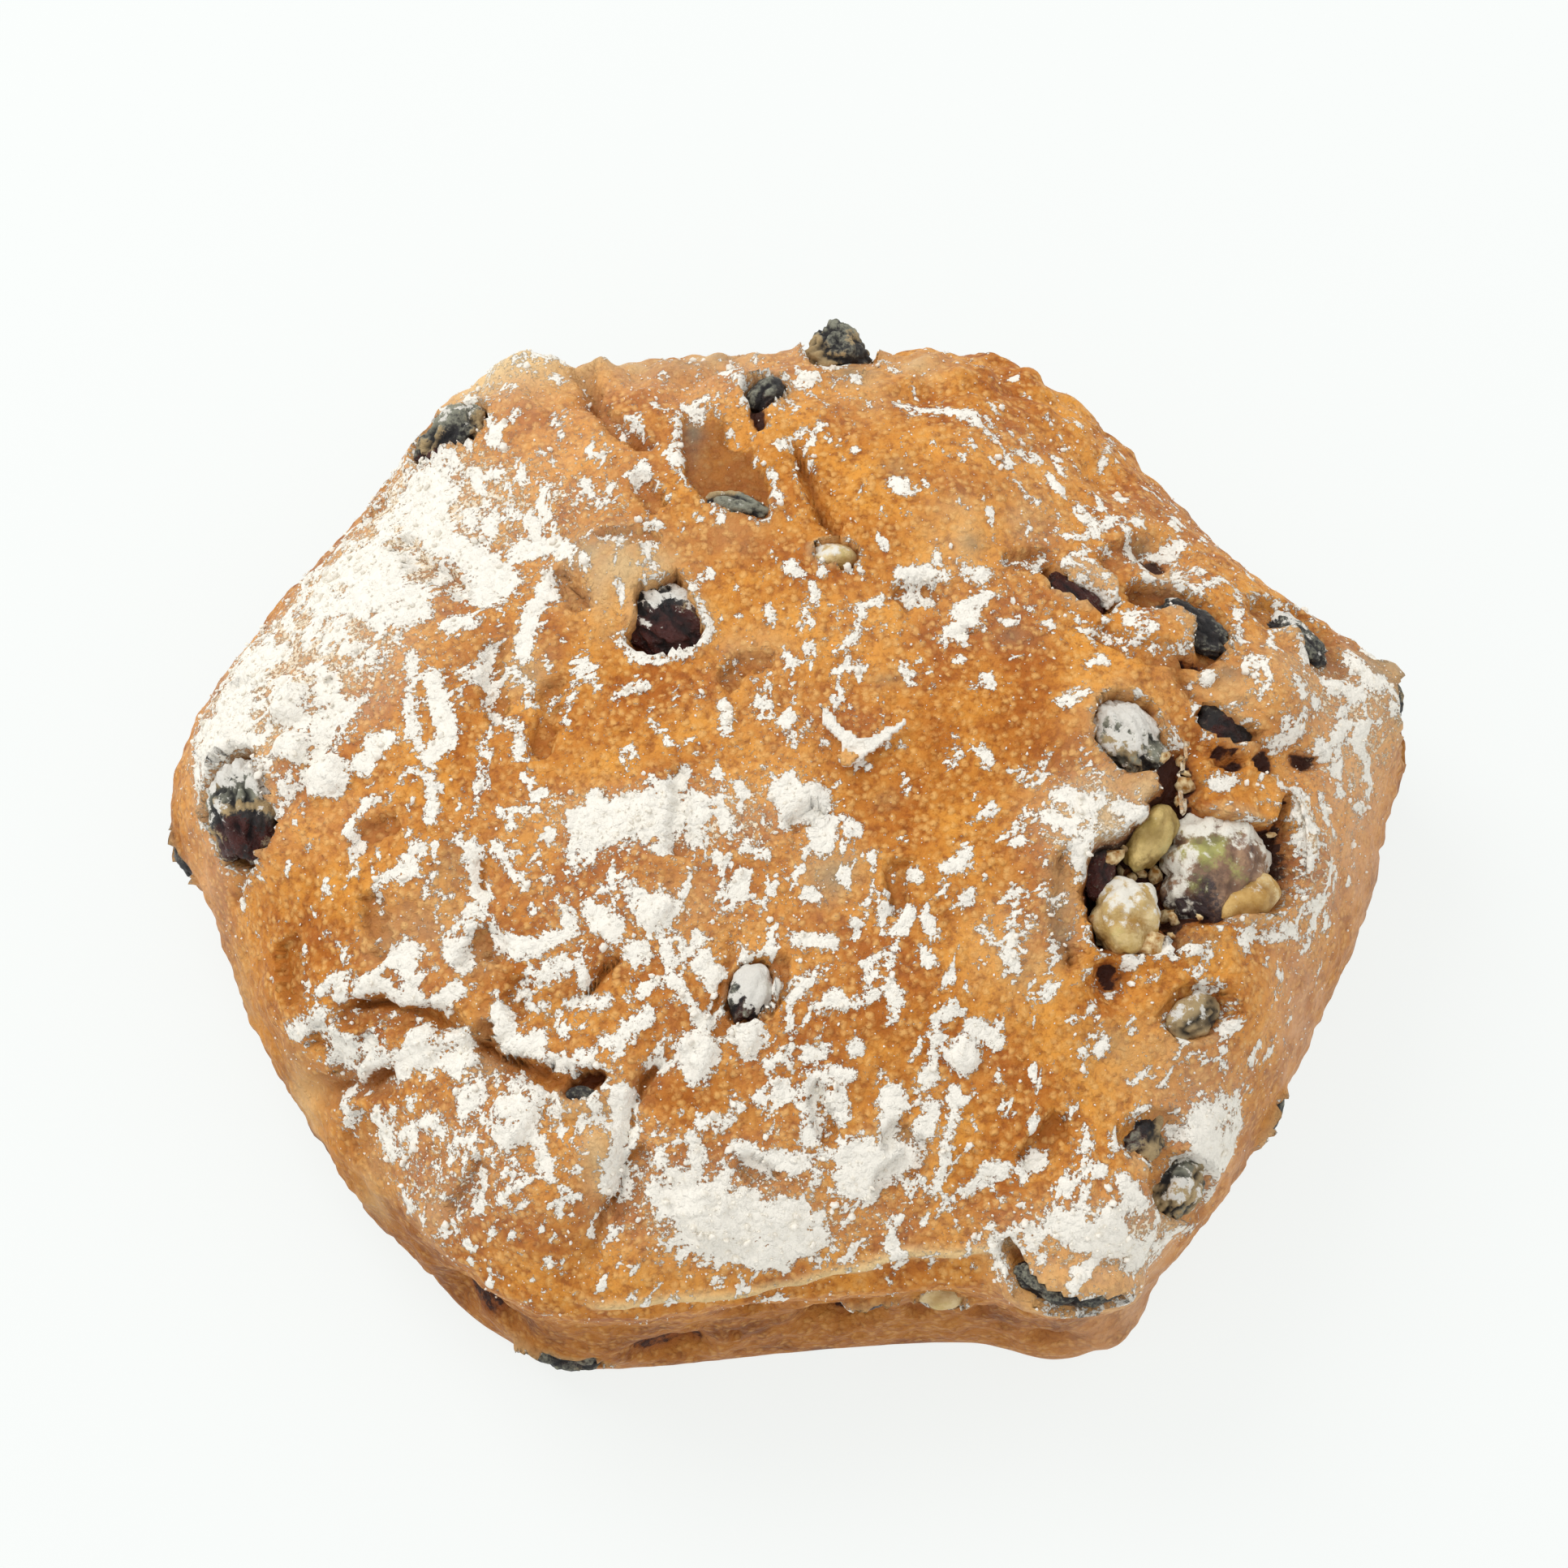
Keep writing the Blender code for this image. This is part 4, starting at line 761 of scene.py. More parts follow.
def skin_over(lift, level):
    """Lap the crust over each piece. Returns the lift, the flour, the gap and the skin over fruit."""
    gap_at, film = np.zeros(len(lift)), np.zeros(len(lift))
    for piece in RAISINS + NUTS:
        local = (POINTS - np.array(SEATS[piece.name].translation)) @ np.array(SEATS[piece.name].to_3x3())
        near = np.linalg.norm(local, axis=1) < piece.length + 2
        spread = np.linalg.norm(local[:, :2] / (piece.length / 2, piece.width / 2), axis=1)
        cap = np.sqrt(np.clip(1 - spread ** 2, 0, 1)) * piece.thickness / 2
        dome = np.where(spread < 1, cap, 3 * (1 - spread))
        over = dome - local[:, 2] + 0.35 - 5 * POINTED.get(piece.name, 0)
        upper = smoothstep(-0.8, -0.3, local[:, 2] / piece.thickness)
        over = np.where(upper > 0, over * upper - 4 * (1 - upper), -4)
        lapped = 0.5 * (lift + over + np.sqrt((lift - over) ** 2 + 0.6))
        edge, gap, flour = opening_of(piece, local)
        skin = smoothstep(-0.15, 0.2, edge)
        shaped = skin * lapped + (1 - skin) * np.minimum(lift, -gap)
        lift = np.where(near, shaped, lift)
        gap_at = np.where(near, np.maximum(gap_at, (1 - skin) * min(1, gap / 2)), gap_at)
        thin = skin * smoothstep(-0.6, 0.8, over) * np.exp(-np.clip(edge, 0, 9) / 3)
        film = np.where(near, np.maximum(film, thin), film)
        level = np.where(near & (edge < 1.2), np.maximum(level, lip(edge, flour, piece.y)), level)
    return lift, level, gap_at, film


def front_relief(points):
    """The thin edge of skin along the cut front's crease, and the groove under it. The edge is also painted
    pale, as glow of light through thin skin.
    """
    crease = np.interp(points[:, 0], [-16, -10, -4, 4, 9, 16, 22], [25, 25.2, 24.8, 25.6, 26.6, 27, 27.4])
    away = points[:, 2] - crease + 0.5 * rough(points, 5, 4)
    on_front = smoothstep(-40, -43, points[:, 1]) * smoothstep(-19, -15, points[:, 0])
    on_front = on_front * smoothstep(23, 17, points[:, 0])
    edge = np.exp(-((away - 0.2) / 0.4) ** 2) * on_front
    return 0.7 * edge - 0.6 * np.exp(-((away + 1) / 0.8) ** 2) * on_front, edge


HOLES_IN_FRONT = [  # x, z, half width, half height, depth
    (-2.6, 16.4, 1.4, 2.1, 2.2), (5.4, 11.4, 3.3, 3.6, 2.4), (-10.8, 7, 4, 2.4, 1.8),
    (18.4, 11.3, 0.7, 1.2, 1.2), (12.6, 11.4, 1.6, 3, 1.4), (24.8, 7, 2.2, 1.6, 1.2),
    (-29, 9, 2.6, 3.4, 1.8), (-21, 18, 0.5, 0.9, 1.2), (-4.6, 9, 0.8, 1, 1.4), (21.5, 15, 0.8, 1.2, 1.2),
    (0.8, 17.6, 0.6, 0.8, 1.2),
]


def front_holes(points):
    """How deep inside one of the cut front's holes each point is, the mask for the painted shade in them,
    and the lift.
    """
    lift, hole_shade = np.zeros(len(points)), np.zeros(len(points))
    for x, z, wide, high, depth in HOLES_IN_FRONT:
        away = np.hypot((points[:, 0] - x) / wide, (points[:, 2] - z) / high) + 0.35 * rough(points, 1.8, 17)
        inner = smoothstep(1.15, 0.7, away) * (points[:, 1] < -35)
        lift, hole_shade = np.minimum(lift, -0.4 * depth * inner), np.maximum(hole_shade, inner * min(0.75, depth / 3))
    return lift, hole_shade


UNEVEN_EDGE = pushed(POINTS, [(2.2, 0.35), (0.9, 0.25)])
PATCHY = np.clip(0.8 + 0.6 * rough(POINTS, 1.3, 19), 0.4, 1)
crack = crack_lift(UNEVEN) - 0.9 * CLEFT
ledge, EDGE = front_relief(POINTS)
hole_lift, HOLE = front_holes(POINTS)
folds = 0.5 * rough(POINTS, 7, 20) + 0.32 * rough(POINTS, 3, 22) + 0.3 * rough(POINTS, 1.7, 26)
BACK_RIM = smoothstep(36, 43, POINTS[:, 1]) * smoothstep(14, 20, POINTS[:, 2])
lift = lump_lift(POINTS) + crack + dough_lift(POINTS) + ledge + hole_lift
rim_folds = 1.3 * rough(POINTS, 4, 27) + 0.6 * rough(POINTS, 1.9, 28)
lift = lift + folds * (1 - 0.6 * ON_TOP) + BACK_RIM * rim_folds
lift, LEVEL, TORN = tear_crust(lift, LEVEL)
# The gap beside each piece is also painted darker: painted shade.
lift, LEVEL, GAP, FILM = skin_over(lift, LEVEL)
# The crust is painted darker by a crack's depth: painted shade in the crack.
DEEP = np.clip(-crack / 1.8 - 0.2, 0, 1)
cracked = 0.9 * smoothstep(0.4, 0.9, DEEP + 0.4 * rough(POINTS, 2.4, 14))
BARE = np.clip(np.maximum(np.maximum(TORN, GAP), cracked), 0, 1)
LEVEL = np.minimum(LEVEL, 0.9 - 2.6 * BARE) - 9 * UNDER
lift = np.where(UNDER, 0, lift * smoothstep(0, FOOT, POINTS[:, 2]))
print("lift", lift.min().round(2), "to", lift.max().round(2), "mm")

# %% Write the crust
STEEP, SMOOTHED = 0.45, 5  # cosine of the lean past which a wall is smoothed, and how many times


def smooth(mesh, verts, rounds=1):
    """Smooth some points of a mesh along all three axes."""
    along = {f"use_axis_{axis}": True for axis in "xyz"}
    for _ in range(rounds):
        bmesh.ops.smooth_vert(mesh, verts=verts, factor=0.5, **along)


def even_out(data, chosen, rounds):
    """Smooth the chosen points of finished data."""
    mesh = bmesh.new()
    mesh.from_mesh(data)
    smooth(mesh, [vert for vert, steep in zip(mesh.verts, chosen) if steep], rounds)
    mesh.to_mesh(data)
    mesh.free()


write_points(crust_mesh, POINTS + NORMALS * lift[:, None])
steepness = np.sum(read_points(crust_mesh, "normal") * NORMALS, axis=1)
even_out(crust_mesh, (steepness < STEEP) & (POINTS[:, 2] > FOOT), SMOOTHED)
shaped = read_points(crust_mesh)
lifted_normals = read_points(crust_mesh, "normal")
blisters = 0.2 * rough(shaped, 1.25, 21) + 0.16 * rough(shaped, 2.6, 23)
heaped = mounds(UNEVEN) * (1 + 0.5 * rough(shaped, 1.1, 24)) * (1 - GAP)
flour_thickness = 0.16 * smoothstep(-0.2, 0.5, LEVEL) + heaped
level_ground = np.clip(1.2 * np.sum(lifted_normals * NORMALS, axis=1) - 0.2, 0, 1)
fine = (blisters + flour_thickness * ON_TOP) * level_ground * smoothstep(0, FOOT, POINTS[:, 2])
shaped = shaped + lifted_normals * np.where(UNDER, 0, fine)[:, None]
shaped[:, 2] = np.maximum(shaped[:, 2], 0)
write_points(crust_mesh, (shaped - MIDDLE) * MM)


def keep(data, name, *channels):
    """Keep up to four numbers for each point, for the materials to read."""
    layer = data.attributes.new(name, "FLOAT_COLOR", "POINT")
    values = np.zeros((len(data.vertices), 4), np.float32)
    for i, channel in enumerate(channels):
        values[:, i] = np.clip(channel, 0, 1)
    layer.data.foreach_set("color", values.ravel())


OLIVE = [  # dough film over fruit: x, y, reach along x and y, strength
    (-15, 19.6, 5, 4, 1.3), (-33, -14, 4, 3, 0.4), (28.6, -5, 5, 4, 1), (32, -1.5, 3.4, 3, 1),
    (41, 8.5, 4, 2.6, 0.5), (-16.3, -35, 1.6, 4, 1), (36, 21.6, 2, 1.8, 1), (8, 43, 3, 5, 0.5),
    (-24, 10, 2.5, 3, 0.6), (31, 4, 4, 4, 0.7), (25, -12.5, 1.6, 5, 0.7), (-27, -26, 1.6, 2.4, 0.9),
    (3, 50, 6, 4, 0.8), (-27.6, -17, 2, 2, 0.6), (-36.6, -14.4, 1.6, 3, 0.6), (4.4, -10, 2.4, 3, 0.7),
    (9.7, -34.4, 3, 1.5, 0.6), (-9, -13, 3, 3, 0.3), (16, 24, 3, 4, 0.5), (21, -17, 4, 4, 0.4),
    (-3, 12, 3, 1.6, 0.5), (33, -27, 5, 4, 0.35), (-17, 47.6, 4, 2.6, 1.1), (-9, 48, 5, 2.2, 0.9),
    (-3, 47.4, 3, 2.4, 0.8), (12, 46, 4, 2.6, 0.8), (58, 14, 3, 4, 0.9), (48, 12, 5, 3, 0.4),
    (-5, 24, 4, 3, 0.3), (-32, -39, 2, 2, 0.4), (23, 26, 3, 3, 0.5),
]
# Amber is thin skin's own colour, and also painted glow of light through it.
AMBER = [  # thin skin that glows orange or yellow
    (42.8, 8.4, 3.4, 2.6, 1), (46, 1.6, 4, 1.8, 0.8), (-4.5, 32, 4, 6, 0.85), (37.2, 13.2, 2.6, 1.8, 0.5),
    (44.5, -1.4, 3, 1.6, 0.7), (-44.4, -28.6, 2.6, 6, 1.1), (-50, -18, 2, 5, 0.7),
    (-27, 47.6, 6.5, 2.4, 1.7), (2.6, -5.4, 1.3, 1, 0.8), (28, 1.7, 0.7, 0.6, 1),
    (-55.8, -3.6, 2, 3.4, 0.8), (35.5, 27, 2, 2, 0.6), (-16.2, -35, 1.3, 3.4, 0.7),
    (-29.6, 38, 2, 2.6, 0.7), (-41, -36, 1.6, 4, 0.5), (-1.6, 24, 2, 0.8, 0.7),
]
GLOW = [  # thin rims that let the light through
    (-27, 45.8, 6, 3.2, 1.5), (-45.6, -27, 1.6, 4, 0.9), (-38.6, -37, 1.4, 4, 0.7), (-52, -16, 1.2, 4, 0.5),
]
# Grey is dark fruit showing through thin skin, and in one place a painted shadow.
GREY_AND_SHADOW = [  # fruit that shows dark through thin skin
    # The narrow strip at x -8.6, y 36.4 is a painted shadow at the pocket's left side.
    (-18.6, 22, 2, 2, 0.5), (9.2, -3, 1.2, 1.2, 0.3), (-8.6, 36.4, 0.9, 3, 0.8), (-16.4, 13, 1.6, 1, 0.4),
    (10.6, 30.8, 1.6, 1.4, 0.5), (4.6, -10.4, 1.8, 1.8, 0.6), (17.6, 22.6, 1, 1, 0.5),
    (24.8, -14, 1, 3.6, 0.7), (9.6, 8.6, 2, 0.9, 0.5), (21.4, 13.2, 2, 1.2, 0.45), (21, -19, 1.4, 1.6, 0.5),
    (-30.4, -9, 1.6, 3, 0.35), (0.5, 50.8, 4, 2, 0.6), (6.6, 44.6, 1.4, 2.2, 0.8),
    (41.2, 10.4, 1.2, 0.8, 0.7), (-10, 46, 4, 2.6, 0.4), (-18, 46.6, 1.6, 1.4, 0.5),
    (-6, 47.4, 1.8, 1.2, 0.5), (41.8, 7.7, 0.9, 0.5, 0.6), (-5.4, 8.9, 1.2, 0.5, 0.5),
    (-23.6, 9.4, 1, 1.2, 0.4), (38, -15.4, 2.4, 1.2, 0.4), (30, -41, 5, 2, 0.3),
    (28.6, -25.2, 2.6, 1.6, 0.4), (56, 14.6, 2, 3, 0.6), (34.6, 25.4, 1.2, 1, 0.5),
]
BROWN = [  # where the crust baked darkest
    (-30.4, 8.2, 4, 5, 1), (-25.2, -20.1, 2, 4, 0.9), (-6.9, -29.8, 5, 1.5, 0.9), (-18, -37, 2.5, 6, 1),
    (-28.7, -40, 5, 3, 0.8), (8.3, -9, 3, 4, 0.5), (-46.3, -12.2, 5, 6, 0.45), (-23.6, -27, 3, 3, 0.9),
    (12, -0.5, 5, 4, 0.35), (21, 5.3, 4, 4, 0.35), (-20, 9.5, 4, 3, 0.7), (4, 7.5, 5, 3, 0.5),
    (3.2, -40, 4, 1.5, 0.4), (-36, -22.6, 8, 1.4, 0.9), (-41, -25.8, 6, 1.2, 0.8), (14, -25, 4, 6, 0.3),
    (2, -12, 6, 3, 0.4), (-12, -24, 6, 3, 0.5), (-32, 20, 1.2, 3, 0.6), (-12.4, 34, 1, 3, 0.6),
    (3.6, 28, 1, 4, 0.7),
]
# Pink is thin dust over a lighter bake, and also painted light that brightens the rims, the right flank
# most.
PINK_DUST_AND_LIGHT = [  # where thin dust over a lighter bake looks pink
    (-20.6, 35.6, 6, 5, 0.5), (53.7, 0.3, 5, 12, 1.1), (-48, -2.2, 4, 4, 0.6), (-55, -5.5, 3, 6, 0.7),
    (48, -18.5, 4, 8, 1.1), (36.5, 11.2, 3, 3, 0.4), (40, -32, 6, 6, 0.8), (34, -43, 7, 5, 1.1),
    (-10, 44, 10, 4, 0.6), (-50, 8, 5, 6, 0.6), (-38, 14, 6, 8, 0.6), (-26, 42, 5, 4, 0.6),
    (-40, -4, 4, 3, 0.4),
]
# Towards the bottom of the sides the crust is painted darker, with fewer light dots and more dark patches.
low_side = 1 - smoothstep(10, 26, POINTS[:, 2] + 3.5 * rough(POINTS, 8, 31))
uneven_tint = 0.75 + 0.5 * rough(POINTS, 2, 33)
# The fourth flour channel carries the painted shade in tears and holes.
keep(crust_mesh, "flour", VEIL, 0.5 + LEVEL / 4, BARE, np.maximum(TORN, HOLE))
olive = np.maximum(patches(POINTS, OLIVE) * ON_TOP * uneven_tint, 0.55 * FILM)
# The last two tone channels carry the painted shade in cracks and in the gaps beside fruit.
keep(crust_mesh, "tone", low_side, olive, DEEP, GAP)
# The amber glow is kept out of tears and gaps, where shade is painted instead.
lit_skin = 1 - np.maximum(TORN, GAP) ** 2
rim_up = smoothstep(8, 14, POINTS[:, 2])
amber = patches(POINTS, AMBER) * uneven_tint * lit_skin * rim_up
grey = patches(POINTS, GREY_AND_SHADOW) * uneven_tint * rim_up
# The third tint channel paints thin rims and the crease edge pale: painted glow of light through thin skin.
keep(crust_mesh, "tint", amber, grey, np.maximum(EDGE, 0.6 * patches(POINTS, GLOW) * rim_up))
# The darkest bake is joined with darker lines along the splits and fine clefts, which are painted shade in
# those narrow cracks.
baked = np.maximum(patches(POINTS, BROWN), np.maximum(SPLIT_SHADE, CLEFT))
# The second bake channel carries the pink dust and the painted light on the rims.
keep(crust_mesh, "bake", baked * uneven_tint, patches(POINTS, PINK_DUST_AND_LIGHT) * uneven_tint)
crust_mesh.shade_smooth()
print("crust mesh:", len(crust_mesh.polygons), "faces")

# %% [markdown]
# ## Colours
#
# Colours are written as the hex values that a paint chart would give. Blender mixes light, not paint,
# so each is turned from sRGB to linear once, here. One helper adds a node with settings and links. Of a
# map range, inputs 1 and 2 are the range that is read and 3 and 4 the range that it becomes.

# %% Helpers for materials
def linear(code, alpha=1.0):
    """An sRGB hex colour as linear light."""
    channels = [int(code[i:i + 2], 16) / 255 for i in (0, 2, 4)]
    return (*[c / 12.92 if c <= 0.04045 else ((c + 0.055) / 1.055) ** 2.4 for c in channels], alpha)


def add(tree, kind, inputs=(), **settings):
    """Add a node with its settings, values and links, and return its outputs. An input that is a
    socket is linked."""
    made = tree.nodes.new("ShaderNode" + kind)
    for name, value in settings.items():
        setattr(made, name, value)
    for key, value in dict(inputs).items():
        if isinstance(value, bpy.types.NodeSocket):
            tree.links.new(value, made.inputs[key])
        else:
            made.inputs[key].default_value = value
    return made.outputs


def start(name):
    """A new material, its node tree and its shader."""
    made = bpy.data.materials.new(name)
    made.use_nodes = True
    return made, made.node_tree, made.node_tree.nodes["Principled BSDF"]


def per_mm(size):
    """The scale that makes a pattern repeat about every so many millimetres."""
    return 1 / (size * MM)


FLOUR_WHITE, FLOUR_WORN = linear("F7F2E6"), linear("F0DDC0")

# %% [markdown]
# ## Baked crust
#
# The brown of a crust comes from sugars that darken as it dries, so high spots and thin skin are
# darker, and pores show as pale dots half a millimetre wide. Flour lies over it in three grades: the
# veil, loose grains and islands with crisp edges. The shader mixes all of them in that order.

# %% Flour on the crust
def channels_of(tree, name):
    """The four numbers kept for each point under a name."""
    kept = add(tree, "Attribute", attribute_name=name)
    parts = add(tree, "SeparateColor", {0: kept["Color"]})
    return [*parts, kept["Alpha"]]


def flour_masks(tree, place, veil, level):
    """The share of each point under loose grains, and under solid flour with ragged powdery edges."""
    powder = add(tree, "TexNoise", {
        "Vector": place, "Scale": per_mm(1.6), "Detail": 8.0, "Roughness": 0.72})[0]
    grain = add(tree, "TexNoise", {
        "Vector": place, "Scale": per_mm(0.4), "Detail": 4.0, "Roughness": 0.7})[0]
    thick = add(tree, "Math", {0: veil, 1: 0.42, 2: grain}, operation="MULTIPLY_ADD")[0]
    thick = add(tree, "Math", {0: powder, 1: 0.8, 2: thick}, operation="MULTIPLY_ADD")[0]
    halo = add(tree, "MapRange", {0: level, 1: 0.2, 2: 0.5, 4: 0.1})[0]
    thick = add(tree, "Math", {0: thick, 1: halo}, operation="ADD")[0]
    specks = add(tree, "MapRange", {0: thick, 1: 1.25, 2: 1.32}, interpolation_type="SMOOTHSTEP")[0]
    edge = add(tree, "Math", {0: powder, 1: 0.6, 2: level}, operation="MULTIPLY_ADD")[0]
    edge = add(tree, "Math", {0: grain, 1: 0.35, 2: edge}, operation="MULTIPLY_ADD")[0]
    solid = add(tree, "MapRange", {0: edge, 1: 0.97, 2: 1.02}, interpolation_type="SMOOTHSTEP")[0]
    return specks, solid, grain


def floured(tree, colour, veil, bare, specks, solid):
    """The colour once dust, grains and solid flour lie on it, and how covered each point is."""
    kept = add(tree, "Math", {0: 1.0, 1: bare}, operation="SUBTRACT", use_clamp=True)[0]
    specks = add(tree, "Math", {0: specks, 1: kept}, operation="MULTIPLY")[0]
    haze = veil
    for share in (kept, veil, 0.4):
        haze = add(tree, "Math", {0: haze, 1: share}, operation="MULTIPLY")[0]
    for mask, white in ((haze, FLOUR_WORN), (specks, FLOUR_WORN), (solid, FLOUR_WHITE)):
        colour = add(tree, "Mix", {0: mask, 6: colour, 7: white}, data_type="RGBA")[2]
    covered = add(tree, "Math", {0: specks, 1: solid}, operation="MAXIMUM")[0]
    return colour, covered


# %% The bake under the flour
def crust_patterns(tree, place):
    """Broad unevenness, fine pores, light dots, and how bright each dot is."""
    broad = add(tree, "TexNoise", {
        "Vector": place, "Scale": per_mm(8), "Detail": 6.0, "Roughness": 0.65})[0]
    pores = add(tree, "TexNoise", {
        "Vector": place, "Scale": per_mm(1), "Detail": 4.0, "Roughness": 0.65})
    spread = add(tree, "VectorMath", {
        0: pores["Color"], 1: [0.9 * MM] * 3, 2: place}, operation="MULTIPLY_ADD")[0]
    cells = add(tree, "TexVoronoi", {"Vector": spread, "Scale": per_mm(0.75)})
    dots = add(tree, "MapRange", {0: cells["Distance"], 1: 0.62, 2: 0.15})[0]
    own = add(tree, "SeparateColor", {0: cells["Color"]})[0]
    own = add(tree, "MapRange", {0: own, 3: 0.25, 4: 1.15})[0]
    return broad, pores[0], dots, own


def bare_crust(tree, broad, pores, dots, own, torn):
    """A ground tone, then a coat for each thing that changes it, from pores up to thin rims."""
    low_side, olive, deep, gap = channels_of(tree, "tone")
    amber, grey, edge, _ = channels_of(tree, "tint")
    brown, pink_dust_and_light, _, _ = channels_of(tree, "bake")
    ramp = add(tree, "MapRange", {0: broad, 1: 0.38, 2: 0.62})[0]
    colour = add(tree, "Mix", {0: ramp, 6: linear("B06218"), 7: linear("E39A3C")}, data_type="RGBA")[2]
    dark_pores = add(tree, "MapRange", {0: pores, 1: 0.5, 2: 0.32, 4: 0.7})[0]
    lit = add(tree, "Math", {0: dots, 1: own, 2: pores}, operation="MULTIPLY_ADD")[0]
    lit = add(tree, "MapRange", {0: lit, 1: 0.55, 2: 1.35, 4: 0.75})[0]
    smoother = add(tree, "MapRange", {0: low_side, 3: 1.0, 4: 0.45})[0]
    lit = add(tree, "Math", {0: lit, 1: smoother}, operation="MULTIPLY")[0]
    burnt = add(tree, "MapRange", {0: broad, 1: 0.5, 2: 0.36})[0]
    burnt = add(tree, "Math", {0: burnt, 1: low_side}, operation="MULTIPLY")[0]
    # Walls and floors of tears and holes are painted darker, near black at the bottom: painted shade.
    wall = add(tree, "MapRange", {0: torn, 1: 0.1, 2: 0.6, 4: 0.85})[0]
    hole_shade = add(tree, "Math", {0: pores, 1: 0.8, 2: torn}, operation="MULTIPLY_ADD")[0]
    hole_shade = add(tree, "MapRange", {0: hole_shade, 1: 0.9, 2: 1.05})[0]
    coats = [  # mask, its greatest share, colour
        # The brown coat is the darkest bake, with painted shade along splits and clefts.
        (dark_pores, 1, "8E4A14"), (brown, 0.75, "A3590F"), (low_side, 0.75, "9A5C1E"), (burnt, 1, "7C4410"),
        (amber, 1, "DF963C"), (lit, 1, "EDB56A"), (pink_dust_and_light, 0.6, "EAB98E"), (olive, 0.9, "DFBE8C"),
        # The deep and gap coats are painted shade in cracks and in the gaps beside fruit.
        (deep, 1, "94551A"), (gap, 1, "6A3616"), (wall, 1, "8A4A1C"), (hole_shade, 1, "38180C"),
        (grey, 1, "77705F"), (edge, 1, "F0D29A"),
    ]
    for mask, most, code in coats:
        mask = add(tree, "Math", {0: mask, 1: most}, operation="MULTIPLY")[0]
        colour = add(tree, "Mix", {0: mask, 6: colour, 7: linear(code)}, data_type="RGBA")[2]
    return colour


# %% Baked crust material
def baked_crust():
    made, tree, shader = start("baked_bread_crust")
    place = add(tree, "TexCoord")["Object"]
    veil, level, bare, torn = channels_of(tree, "flour")
    broad, pores, dots, own = crust_patterns(tree, place)
    colour = bare_crust(tree, broad, pores, dots, own, torn)
    specks, solid, grain = flour_masks(tree, place, veil, level)
    colour, covered = floured(tree, colour, veil, bare, specks, solid)
    tree.links.new(colour, shader.inputs["Base Color"])
    dull = add(tree, "MapRange", {0: covered, 3: 0.5, 4: 0.95})[0]
    tree.links.new(dull, shader.inputs["Roughness"])
    shader.inputs["Specular IOR Level"].default_value = 0.18
    height = add(tree, "Math", {0: dots, 1: 0.16}, operation="MULTIPLY")[0]
    for rise, share in ((pores, 0.35), (covered, 0.12), (grain, 0.12)):
        height = add(tree, "Math", {0: rise, 1: share, 2: height}, operation="MULTIPLY_ADD")[0]
    bump = add(tree, "Bump", {"Height": height, "Distance": MM, "Strength": 1.0})
    tree.links.new(bump[0], shader.inputs["Normal"])
    return made


# %% Put the crust on the bun
def put_in_scene(name, data):
    """Make data an object of the scene."""
    thing = bpy.data.objects.new(name, data)
    bpy.context.scene.collection.objects.link(thing)
    return thing


def finish(data, name, surface, node):
    """Make a finished mesh an object that rides on the bun and stands for its solid."""
    thing = put_in_scene(name, data)
    data.materials.append(surface)
    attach(thing, "root")
    if node:
        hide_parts(node)
    return thing


CRUST = baked_crust()
finish(crust_mesh, "bun_crust", CRUST, "bun")

# %% [markdown]
# ## Raisins
#
# A raisin is a grape that shrank, so its skin is too large for it and folds into furrows along its
# length. The dry top is dull and dusty, and flesh that tore open in the dough is dark red and wet.

# %% Wrinkle a body
FURROW_SLOPE = 2.2


def wrinkled(piece, fineness, scales):
    """A round body with furrows. Each scale has a width, a depth and a stretch along its length."""
    mesh = bmesh.new()
    bmesh.ops.create_icosphere(mesh, subdivisions=fineness, radius=1)
    half = Vector((piece.length, piece.width, piece.thickness)) / 2
    bmesh.ops.scale(mesh, verts=mesh.verts[:], vec=half)
    hollow = []
    for vert in mesh.verts:
        start_at, sunk = vert.co.copy(), 0.0
        for width, depth, stretch in scales:
            place = Vector((start_at.x / stretch, start_at.y, start_at.z)) / width
            height = abs(noise.noise(place + Vector((piece.x, piece.y, 0))))
            sunk += depth * (1 - min(1, FURROW_SLOPE * height))
        vert.co *= 1 - sunk
        narrower = 1 - POINTED.get(piece.name, 0) * max(0, vert.co.z / half.z)
        vert.co.xy *= narrower
        hollow.append(sunk)
    bmesh.ops.transform(mesh, matrix=SEATS[piece.name], verts=mesh.verts[:])
    return to_data(mesh, piece.name), np.array(hollow)


def place_in_world(data):
    """Keep the points in plan, and move the mesh to its place in metres."""
    points = read_points(data)
    write_points(data, (points - MIDDLE) * MM)
    return points


